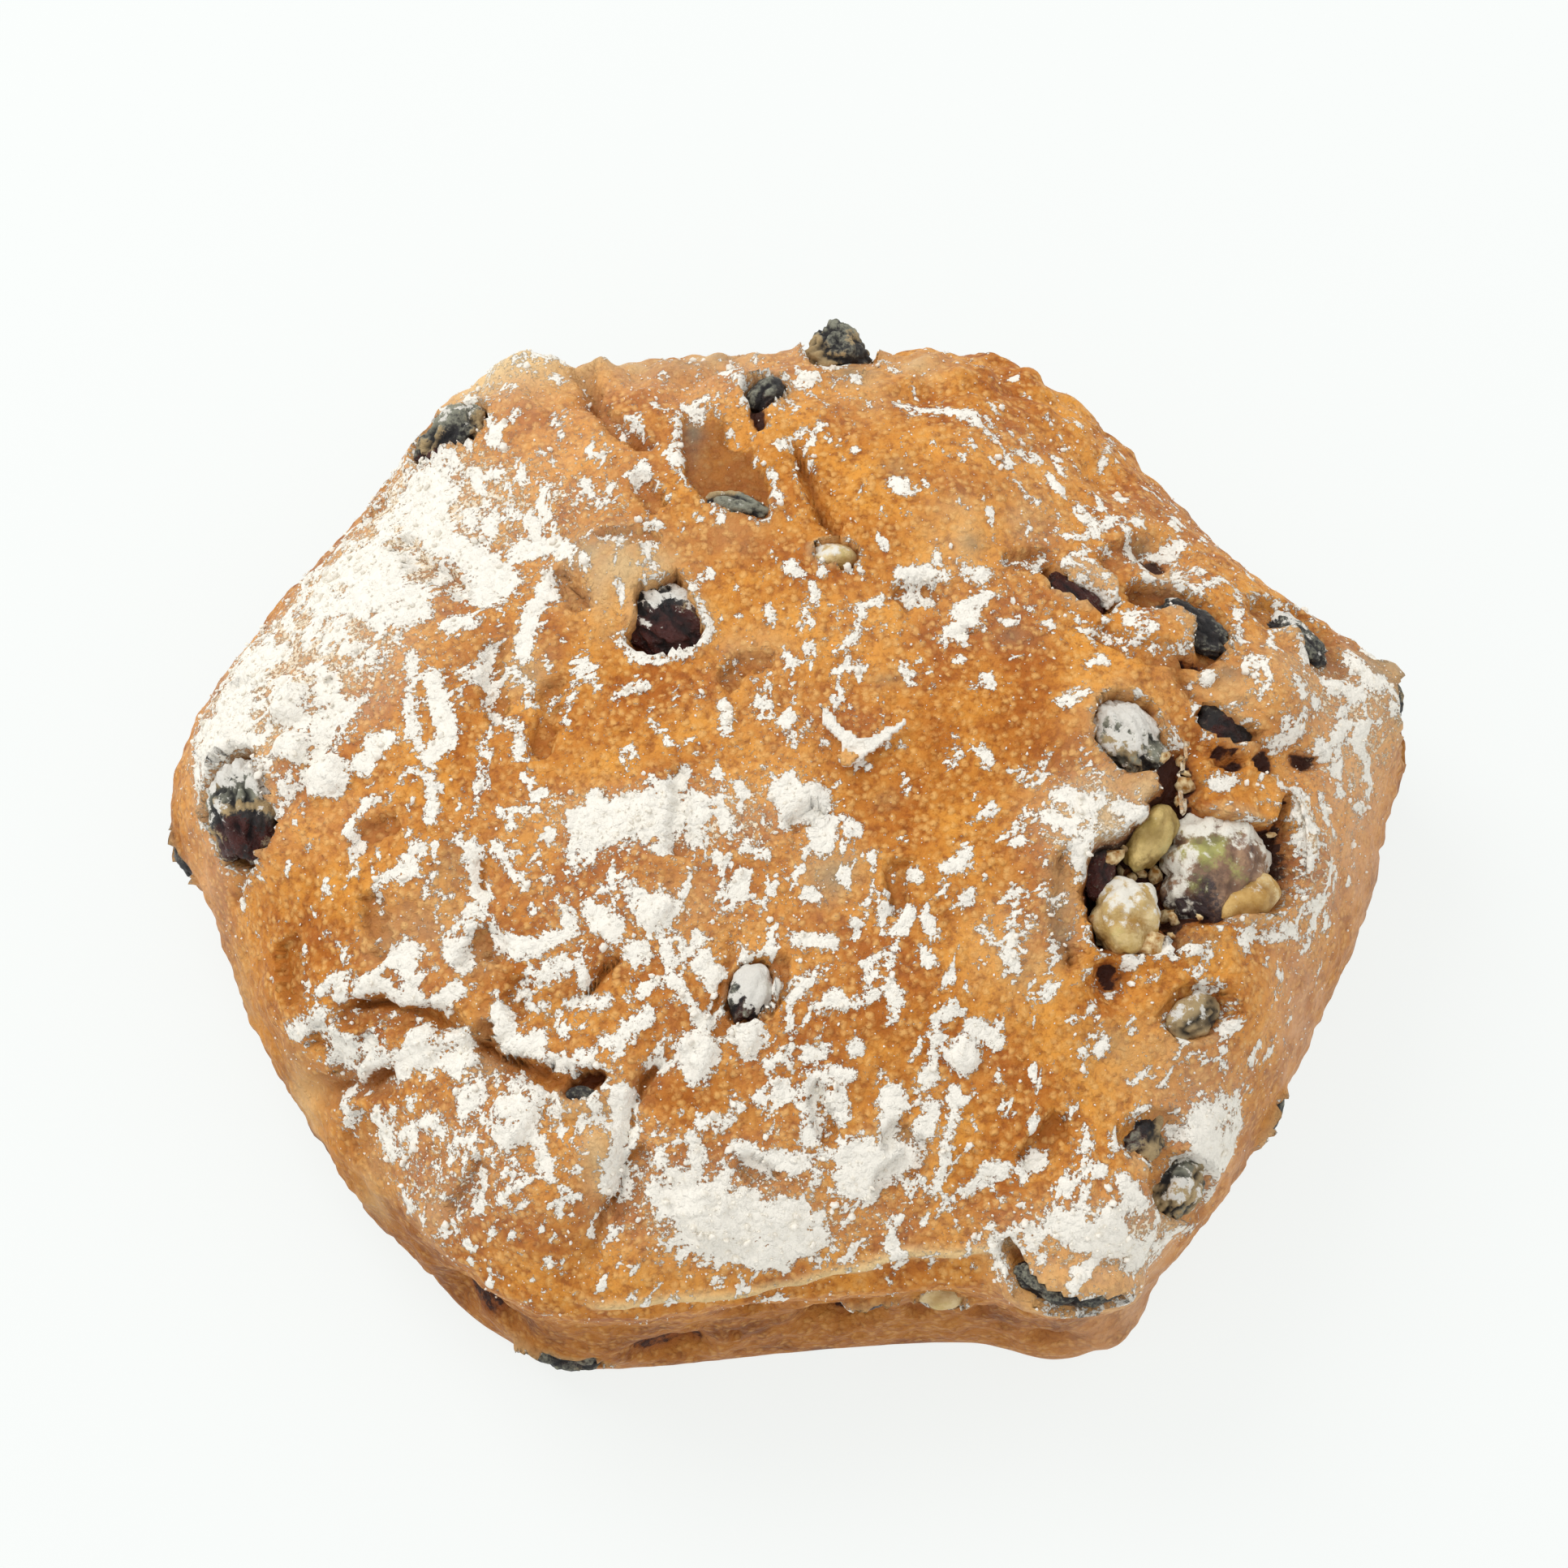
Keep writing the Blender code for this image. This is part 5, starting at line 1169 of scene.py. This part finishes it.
FILM_SPOTS = {  # where tan dough film clings to a piece: x, y, reach along x and y, strength
    "raisin_corner": [(-29.2, 38.8, 2, 2.4, 1), (-34.4, 36.6, 1.6, 1, 0.8), (-32, 41.4, 2, 1.4, 0.5)],
    "raisin_left": [
        (-54, -3.6, 2, 3, 0.8), (-49.6, -1.4, 3.4, 0.5, 1), (-47.4, 2.4, 1.6, 1.4, 0.6),
        (-53, 1, 2, 0.6, 0.6)],
    "raisin_flat": [(36.8, -21.6, 5, 4, 1.6)],
    "raisin_low": [(34.4, -32, 1.8, 1.6, 0.9), (31.4, -34.6, 1.6, 1.2, 0.8)],
    "raisin_low_grey": [(35.6, -37.6, 4.4, 1.8, 1.2), (37.6, -35, 1.6, 2.4, 0.9)],
    "raisin_hook": [(36.4, 15, 3, 2.4, 0.6)],
    "raisin_tear": [(-12.8, 17.6, 1, 1.6, 0.6), (-9.6, 15.6, 1, 1.2, 0.4)],
    "raisin_pocket": [(-5.6, 29, 3, 0.8, 0.8), (-3, 27.2, 1, 1, 0.4)],
    "raisin_grey": [(31.2, 2.2, 3, 1.6, 1.3), (29.4, 3.4, 1.6, 2, 0.7)],
    "raisin_peak": [(2.6, 46.4, 2.4, 4, 1.5), (5.2, 45, 1.2, 1.6, 1)],
    "nut_walnut": [(38.8, -6.2, 3.6, 3.2, 1.5), (38.6, -9.8, 2, 2, 0.7)],
}
# Wet and torn spots, and on the walnut painted shade.
WET_AND_SHADE_SPOTS = {  # where a piece is torn or wet
    "raisin_left": [(-50.4, -3.4, 3.4, 2, 1), (-46.8, 0.6, 1.4, 2.4, 0.8)],
    "raisin_tear": [(-10.4, 13.2, 3, 1.8, 1)],
    "raisin_corner": [(-33.6, 34.4, 3, 1.8, 1)],
    "raisin_peak": [(7.6, 45, 1.6, 1.8, 1.2)],
    "nut_lower": [(29.9, -12.6, 1.2, 1.4, 0.9), (33.6, -16.2, 1.6, 1.2, 0.8), (31.6, -14.6, 1, 0.8, 0.5)],
    # The walnut's dark spots along its lower side are painted shade.
    "nut_walnut": [(36.6, -12.6, 3.2, 2.6, 1), (40.6, -12.4, 3, 2, 0.8), (43, -6.4, 2, 2.4, 0.35)],
}
DUST_SPOTS = {  # where flour lies on a piece
    "raisin_left": [
        (-51.4, 2.6, 3, 1.8, 1), (-48, 1.4, 2, 1.6, 0.8), (-53, -1, 2.4, 1.4, 0.7),
        (-50, -4.6, 3, 1, 0.4)],
    "raisin_flat": [(36.2, -22, 3, 2, 0.7)],
    "raisin_low_grey": [(35, -36.4, 3, 1.6, 0.6)],
    "raisin_corner": [(-33.4, 40.6, 3, 2, 0.5)],
    "raisin_tear": [(-9.4, 17.6, 1.8, 1.6, 1.1), (-11.8, 16.8, 2, 1, 1), (-12.6, 14.2, 0.8, 1.4, 0.6)],
    "raisin_floured": [(-2.2, -20.8, 1.9, 2.6, 1.6)],
    "raisin_grey": [(31, 6.4, 3.4, 2.4, 0.8), (33.4, 5, 1.8, 2.6, 0.7), (31, 2.6, 4, 2, 0.5)],
    "nut_walnut": [
        (36, -9, 1.5, 3.4, 0.8), (42, -4.2, 4, 1.6, 0.8), (37.4, -4, 2, 1.8, 0.9),
        (44.6, -5.6, 1.6, 2, 0.7), (36.8, -11.6, 1, 1.6, 0.8)],
    "nut_lower": [(31, -11.4, 2.6, 2.6, 0.9), (34.2, -11.4, 1.4, 3, 1.1), (29.8, -14.2, 1.6, 2, 0.7)],
    "nut_upper": [(34.6, -8.4, 1.6, 1.2, 0.8), (32.6, -4.6, 1, 2, 0.4)],
    "nut_peeled": [(41, -9, 3, 1.4, 0.6)],
    "nut_seed": [(3.8, 22, 1.8, 1.4, 0.8)],
}


def fruit_looks(piece, data, hollow):
    """Keep bloom, wet flesh, film and flour for each point of a piece."""
    points = place_in_world(data)
    middle = np.array(SEATS[piece.name].translation)
    normal = np.array(SEATS[piece.name].to_3x3())[:, 2]
    up = (points - middle) @ normal / (piece.thickness / 2)
    back = (points[:, 1] - middle[1]) / (piece.length / 2)
    speckle, drift = rough(points, 0.8, 41), rough(points, 2.5, 42)
    furrow = smoothstep(0.4, 0.95, hollow / hollow.max())
    torn, filmed, dusted = (
        patches(points, spots.get(piece.name, [])) for spots in (WET_AND_SHADE_SPOTS, FILM_SPOTS, DUST_SPOTS))
    bloom = piece.bloom * (0.75 + 0.35 * back + 0.3 * up + 0.8 * drift) + 0.2 - 0.6 * furrow - 0.9 * torn
    wet = 1.4 * piece.wet - 0.6 - 0.7 * back + 0.8 * drift + torn
    film = piece.olive - 0.55 + 0.9 * rough(points, 2, 43) - 0.3 * furrow + filmed
    dust = piece.flour - 0.5 + 0.5 * back + 0.8 * speckle - 0.35 * furrow + dusted
    keep(data, "skin", bloom, wet, film, dust)
    # The furrow depth is kept to paint shade into the furrows.
    keep(data, "furrow_shade", furrow)
    data.shade_smooth()


# %% Raisin skin material
def speckled(tree, channel, grain, low, high):
    """A kept number broken up by grain: nothing below low, full above high."""
    both = add(tree, "Math", {0: grain, 1: 1.8, 2: channel}, operation="MULTIPLY_ADD")[0]
    return add(tree, "MapRange", {0: both, 1: low, 2: high}, interpolation_type="SMOOTHSTEP")[0]


def start_fruit(name):
    """A new material, with its place, its fine grain and the numbers kept for each point."""
    made, tree, shader = start(name)
    place = add(tree, "TexCoord")["Object"]
    grain = add(tree, "TexNoise", {
        "Vector": place, "Scale": per_mm(0.45), "Detail": 5.0, "Roughness": 0.7})[0]
    return made, tree, shader, place, grain, [*channels_of(tree, "skin"), channels_of(tree, "furrow_shade")[0]]


def raisin_skin():
    made, tree, shader, place, grain, kept = start_fruit("dried_raisin_skin")
    bloom, wet, film, dust, furrow_shade = kept
    ridges = add(tree, "TexNoise", {"Vector": place, "Scale": per_mm(1.3), "Detail": 4.0})[0]
    tint = add(tree, "MapRange", {0: ridges, 1: 0.35, 2: 0.65})[0]
    colour = add(tree, "Mix", {0: tint, 6: linear("18161A"), 7: linear("35302E")}, data_type="RGBA")[2]
    wet = speckled(tree, wet, grain, 1.15, 1.5)
    bloom = speckled(tree, bloom, grain, 1.1, 1.7)
    film = speckled(tree, film, grain, 1.15, 1.6)
    dust = speckled(tree, dust, grain, 1.35, 1.6)
    # The near-black coat in the furrows is painted shade.
    coats = [
        (wet, "47160E"), (bloom, "989886"), (film, "BFA578"), (furrow_shade, "0F0D0F"), (dust, "F2EEE4"),
    ]
    for mask, code in coats:
        colour = add(tree, "Mix", {0: mask, 6: colour, 7: linear(code)}, data_type="RGBA")[2]
    tree.links.new(colour, shader.inputs["Base Color"])
    dull = add(tree, "MapRange", {0: wet, 3: 0.45, 4: 0.18})[0]
    for mask in (bloom, film, dust):
        dull = add(tree, "Mix", {0: mask, 2: dull, 3: 0.85})[0]
    tree.links.new(dull, shader.inputs["Roughness"])
    height = add(tree, "Math", {0: ridges, 1: 0.5, 2: grain}, operation="MULTIPLY_ADD")[0]
    bump = add(tree, "Bump", {"Height": height, "Distance": 0.5 * MM, "Strength": 0.9})
    tree.links.new(bump[0], shader.inputs["Normal"])
    return made


RAISIN = raisin_skin()
WRINKLES = [(2.6, 0.15, 2), (1.2, 0.12, 2.6), (0.6, 0.06, 1.6)]
for piece in RAISINS:
    data, hollow = wrinkled(piece, 5 if piece.length > 8 else 4, WRINKLES)
    fruit_looks(piece, data, hollow)
    finish(data, piece.name.replace("raisin_", "dried_"), RAISIN, piece.name)
print(len(RAISINS), "raisins wrinkled")

# %% [markdown]
# ## Kernels
#
# A walnut half is folded like a brain under a thin brown skin, and where the skin rubbed off the
# kernel is pale, waxy and a little see-through. Its folds are wider and softer than a raisin's.

# %% Kernel materials
def kernel(name, flesh, shade, film_code, wet_and_shade_code):
    """Waxy flesh with darker shades, dough film, wet spots, creases painted dark as shade, and flour over
    all.
    """
    made, tree, shader, place, grain, kept = start_fruit(name)
    _, wet, film, dust, furrow_shade = kept
    broad = add(tree, "TexNoise", {
        "Vector": place, "Scale": per_mm(2.6), "Detail": 5.0, "Roughness": 0.6})[0]
    tint = add(tree, "MapRange", {0: broad, 1: 0.38, 2: 0.62})[0]
    colour = add(tree, "Mix", {0: tint, 6: linear(shade), 7: linear(flesh)}, data_type="RGBA")[2]
    wet = speckled(tree, wet, grain, 1.1, 1.9)
    film = speckled(tree, film, grain, 1.1, 1.8)
    dust = speckled(tree, dust, grain, 1.3, 1.8)
    # The creases take the dark wet colour: painted shade in the folds.
    crease = add(tree, "Math", {0: furrow_shade, 1: 0.55}, operation="MULTIPLY")[0]
    for mask, code in ((wet, wet_and_shade_code), (film, film_code), (crease, wet_and_shade_code), (dust, "EFEADC")):
        colour = add(tree, "Mix", {0: mask, 6: colour, 7: linear(code)}, data_type="RGBA")[2]
    tree.links.new(colour, shader.inputs["Base Color"])
    dull = add(tree, "MapRange", {0: dust, 3: 0.45, 4: 0.9})[0]
    tree.links.new(dull, shader.inputs["Roughness"])
    bump = add(tree, "Bump", {"Height": grain, "Distance": 0.3 * MM, "Strength": 0.8})
    tree.links.new(bump[0], shader.inputs["Normal"])
    return made


KERNELS = {
    "nut_walnut": kernel("walnut_kernel_skin", "BE9874", "86614A", "B0AC62", "3A2C2E"),
    "nut_peeled": kernel("toasted_kernel", "E2BC74", "BC8E42", "EAD3A0", "8A5C24"),
    "nut_upper": kernel("raw_kernel", "E0C47E", "A88E48", "D6C584", "84662C"),
}
PALE_KERNEL = kernel("peeled_kernel", "EBD5A2", "CFAE66", "CDBA72", "A67C34")
FOLDS = {"nut_walnut": [(4.2, 0.12, 1.2), (1.8, 0.08, 1.4), (0.8, 0.04, 1)]}
SMOOTH = [(4.4, 0.17, 1), (1.9, 0.05, 1.6), (0.7, 0.025, 1)]
for piece in NUTS:
    data, hollow = wrinkled(piece, 5 if piece.length > 8 else 4, FOLDS.get(piece.name, SMOOTH))
    fruit_looks(piece, data, hollow)
    surface = KERNELS.get(piece.name, PALE_KERNEL)
    finish(data, piece.name.replace("nut_", "kernel_"), surface, piece.name)
print(len(NUTS), "kernels made")

# %% [markdown]
# ## Loose skin
#
# Where the crust tore, thin flakes of floured skin curl up or bridge a gap. Each is a small sheet cut
# to its outline, laid on the crust with a ray from above, curled at the edge and given a thickness.

# %% Flakes of skin
surface_tree = BVHTree.FromPolygons(
    [Vector(p) for p in shaped], [tuple(face.vertices) for face in crust_mesh.polygons])


def height_at(x, y):
    hit = surface_tree.ray_cast(Vector((x, y, 80)), Vector((0, 0, -1)))[0]
    return hit.z if hit else 0.0


def flake(name, outline, lift, curl, thickness=0.3, look=(0.9, 0.9, 0), cell=0.35):
    """A sheet of skin inside an outline in plan. It lies lift above the crust, and its edge rises by
    curl. Its look is its veil, its level of flour and how amber it is."""
    outline = smooth_curve(outline, True, steps=4)
    low, high = outline.min(0), outline.max(0)
    mesh = bmesh.new()
    steps = [max(3, int(side / cell)) for side in high - low]
    bmesh.ops.create_grid(mesh, x_segments=steps[0], y_segments=steps[1], size=0.5)
    for vert in mesh.verts:
        vert.co = Vector((*((low + high) / 2 + np.array(vert.co.xy) * (high - low)), 0))
    plan = np.array([vert.co[:] for vert in mesh.verts])
    edge = way_to(plan, outline, closed=True) * np.where(inside(plan, outline), 1, -1)
    edge += 0.25 * rough(plan, 0.9, 51)
    for vert, away in zip(mesh.verts, edge):
        rise = lift + curl * math.exp(-max(away, 0) / 0.6)
        vert.co.z = height_at(vert.co.x, vert.co.y) + rise
    out = [vert for vert, away in zip(mesh.verts, edge) if away < 0]
    bmesh.ops.delete(mesh, geom=out, context="VERTS")
    smooth(mesh, mesh.verts[:])
    bmesh.ops.solidify(mesh, geom=mesh.faces[:], thickness=-thickness)
    bmesh.ops.recalc_face_normals(mesh, faces=mesh.faces[:])
    data = to_data(mesh, name)
    points = place_in_world(data)
    veil, level, amber = look
    spread = rough(points, 1.6, 52)
    keep(data, "flour", veil, level + 0.25 * spread)
    keep(data, "tone")
    # A flake is painted with the glow of thin skin: amber where given, and a quarter of the pale rim glow.
    keep(data, "tint", amber + 0.4 * spread if amber else 0, 0, 0.25)
    data.shade_smooth()
    return finish(data, name, CRUST, None)


flake("skin_flake_middle", [
    (3.2, 5.7), (4.5, 4.9), (5.8, 3.6), (7.3, 2.5), (9.3, 3.6), (11.5, 4.6), (10.8, 3), (9, 1.4),
    (7.4, 0.2), (5.8, -0.9), (4.8, 0), (4.9, 1.6), (3.9, 2.7), (3.2, 3.9)], 0.55, 0.7, look=(0.9, 0.75, 0.0))
flake("skin_flake_tip", [(4.9, 1.2), (6.2, 1.1), (6.9, 0.3), (5.8, -1), (4.8, -0.1)],
      1.0, 0.6, look=(0.3, 0.3, 0.9))
flake("skin_strand", [
    (36.1, 3), (37.1, 2.7), (37, 1.2), (36.5, 0), (36.6, -1.6), (37.2, -3.2), (36.2, -3.7), (35.9, -1.6),
    (35.8, 0.2), (36.3, 1.5)], 2.6, 0.4, 0.4, look=(0.9, 0.4, 0.2))
flake("skin_flap_red", [
    (25.6, 21.4), (28.2, 22.2), (31.2, 20.2), (31.4, 17.8), (30, 16.8), (28.4, 18.3),
    (26.4, 19.4)], 0.15, 0.3, look=(0.6, 0.52, 0.2))
flake("skin_flap_cave", [
    (46.6, 0.6), (48.2, 0.8), (49.4, -2.2), (49.2, -5.4), (48.6, -7.8), (47.8, -7.6), (47.9, -4),
    (47.4, -1.6)], 0.2, 0.5, look=(0.9, 0.6, 0.1))

# %% [markdown]
# ## Loose flour
#
# Flour also lies as loose grains and clumps that stand off the crust and catch the light. Each kind
# is one mesh: a small rounded body, repeated, turned and squashed at random, with a fixed seed.

# %% Scatter grains and clumps
draw = np.random.default_rng(12)


def lump_shape(fineness, seed):
    """The points and faces of one small rounded body."""
    mesh = bmesh.new()
    bmesh.ops.create_icosphere(mesh, subdivisions=fineness, radius=1)
    for vert in mesh.verts:
        vert.co *= 1 + 0.6 * noise.noise(vert.co * 1.5 + Vector((seed, 0, 0)))
    points = np.array([vert.co[:] for vert in mesh.verts])
    faces = np.array([[vert.index for vert in face.verts] for face in mesh.faces])
    mesh.free()
    return points, faces


def scatter(name, weight, count, sizes, fineness, surface, sink=0.2):
    """One mesh of many small bodies, more of them where the weight is higher."""
    chosen = draw.choice(len(weight), count, p=weight / weight.sum())
    size = sizes[0] * (sizes[1] / sizes[0]) ** (draw.random(count) ** 2.2)
    shape, faces = lump_shape(fineness, count)
    turns = np.linalg.qr(draw.normal(size=(count, 3, 3)))[0]
    turns[:, :, 0] *= np.sign(np.linalg.det(turns))[:, None]
    squash = draw.uniform(0.45, 1.2, (count, 1, 3))
    places = shaped[chosen] + draw.uniform(-0.3, 0.3, (count, 3)) * (1 - abs(lifted_normals[chosen]))
    places = places + lifted_normals[chosen] * (size * (0.5 - sink))[:, None]
    bodies = (shape[None] * squash) @ turns * (size / 2)[:, None, None] + places[:, None]
    points = (bodies.reshape(-1, 3) - MIDDLE) * MM
    offsets = (np.arange(count) * len(shape))[:, None, None]
    data = bpy.data.meshes.new(name)
    data.from_pydata(points.tolist(), [], (faces[None] + offsets).reshape(-1, 3).tolist())
    data.shade_smooth()
    print(name, "has", len(data.polygons), "faces")
    return finish(data, name, surface, None)


def powder(name, dark, light):
    """A dry matt surface, mottled finely between two tones."""
    made, tree, shader = start(name)
    place = add(tree, "TexCoord")["Object"]
    fine = add(tree, "TexNoise", {"Vector": place, "Scale": per_mm(0.6), "Detail": 3.0})[0]
    tint = add(tree, "MapRange", {0: fine, 1: 0.35, 2: 0.65})[0]
    colour = add(tree, "Mix", {0: tint, 6: linear(dark), 7: linear(light)}, data_type="RGBA")[2]
    tree.links.new(colour, shader.inputs["Base Color"])
    shader.inputs["Roughness"].default_value = 0.95
    bump = add(tree, "Bump", {"Height": fine, "Distance": 0.15 * MM, "Strength": 0.8})
    tree.links.new(bump[0], shader.inputs["Normal"])
    return made


FLOUR, CRUMB = powder("dry_wheat_flour", "E9E2D4", "F7F2E6"), powder("torn_dough_crumb", "A06A26", "E9D3A2")
open_crust = (1 - BARE) * ON_TOP * (~UNDER)
clumped = (LEVEL > -0.2) * (0.1 + VEIL)
scatter("flour_grains", open_crust * (0.1 + VEIL ** 1.5), 9000, (0.1, 0.34), 1, FLOUR)
scatter("flour_clumps", open_crust * clumped, 1300, (0.25, 0.8), 2, FLOUR, 0.35)
in_cave = (from_edge(POINTS, CAVE) < -0.3) * ON_TOP
scatter("dough_crumbs", in_cave, 60, (0.9, 3.4), 2, CRUMB, 0.2)

# %% [markdown]
# ## Stage
#
# A pale floor, lit from below as for small goods, and soft light from a large panel above the left side
# show form with hardly a shadow. The camera looks down at 68 degrees.

# %% Floor, light and camera
FLOOR_SIZE, PALE_GLOW = 3, 0.86  # half size in metres, strength of floor and room
KEY_PLACE, KEY_SIZE, KEY_POWER = (-0.5, 0.45, 0.85), 0.6, 5  # metres and watts
CAMERA_TARGET, CAMERA_AWAY, CAMERA_TILT = (-0.0006, 0.0036, 0.018), 0.37, 68  # metres and degrees
LENS_MM, SENSOR_MM = 88.25, 36


def make_floor():
    mesh = bmesh.new()
    bmesh.ops.create_grid(mesh, x_segments=1, y_segments=1, size=FLOOR_SIZE)
    floor = put_in_scene("floor", to_data(mesh, "floor"))
    made, _, shader = start("backlit_white_acrylic")
    shader.inputs["Base Color"].default_value = linear("656666")
    shader.inputs["Roughness"].default_value = 0.9
    shader.inputs["Emission Color"].default_value = linear("F5F8F6")
    shader.inputs["Emission Strength"].default_value = PALE_GLOW
    floor.data.materials.append(made)


def make_key_light():
    light = bpy.data.lights.new("key", "AREA")
    light.size, light.energy = KEY_SIZE, KEY_POWER
    panel = put_in_scene("key", light)
    panel.location = KEY_PLACE
    panel.rotation_euler = (-Vector(KEY_PLACE)).to_track_quat("-Z", "Y").to_euler()


def make_room():
    world = bpy.data.worlds.new("studio")
    world.use_nodes = True
    background = world.node_tree.nodes["Background"]
    background.inputs["Color"].default_value = (1, 1, 1, 1)
    background.inputs["Strength"].default_value = PALE_GLOW
    bpy.context.scene.world = world


def make_camera():
    camera = bpy.data.cameras.new("camera")
    camera.lens, camera.sensor_width = LENS_MM, SENSOR_MM
    thing = put_in_scene("camera", camera)
    tilt = math.radians(CAMERA_TILT)
    back = Vector((0, -math.cos(tilt), math.sin(tilt)))
    thing.location = Vector(CAMERA_TARGET) + CAMERA_AWAY * back
    thing.rotation_euler = (math.radians(90) - tilt, 0, 0)
    bpy.context.scene.camera = thing


make_floor()
make_key_light()
make_room()
bpy.context.scene.view_settings.view_transform = "Standard"
make_camera()
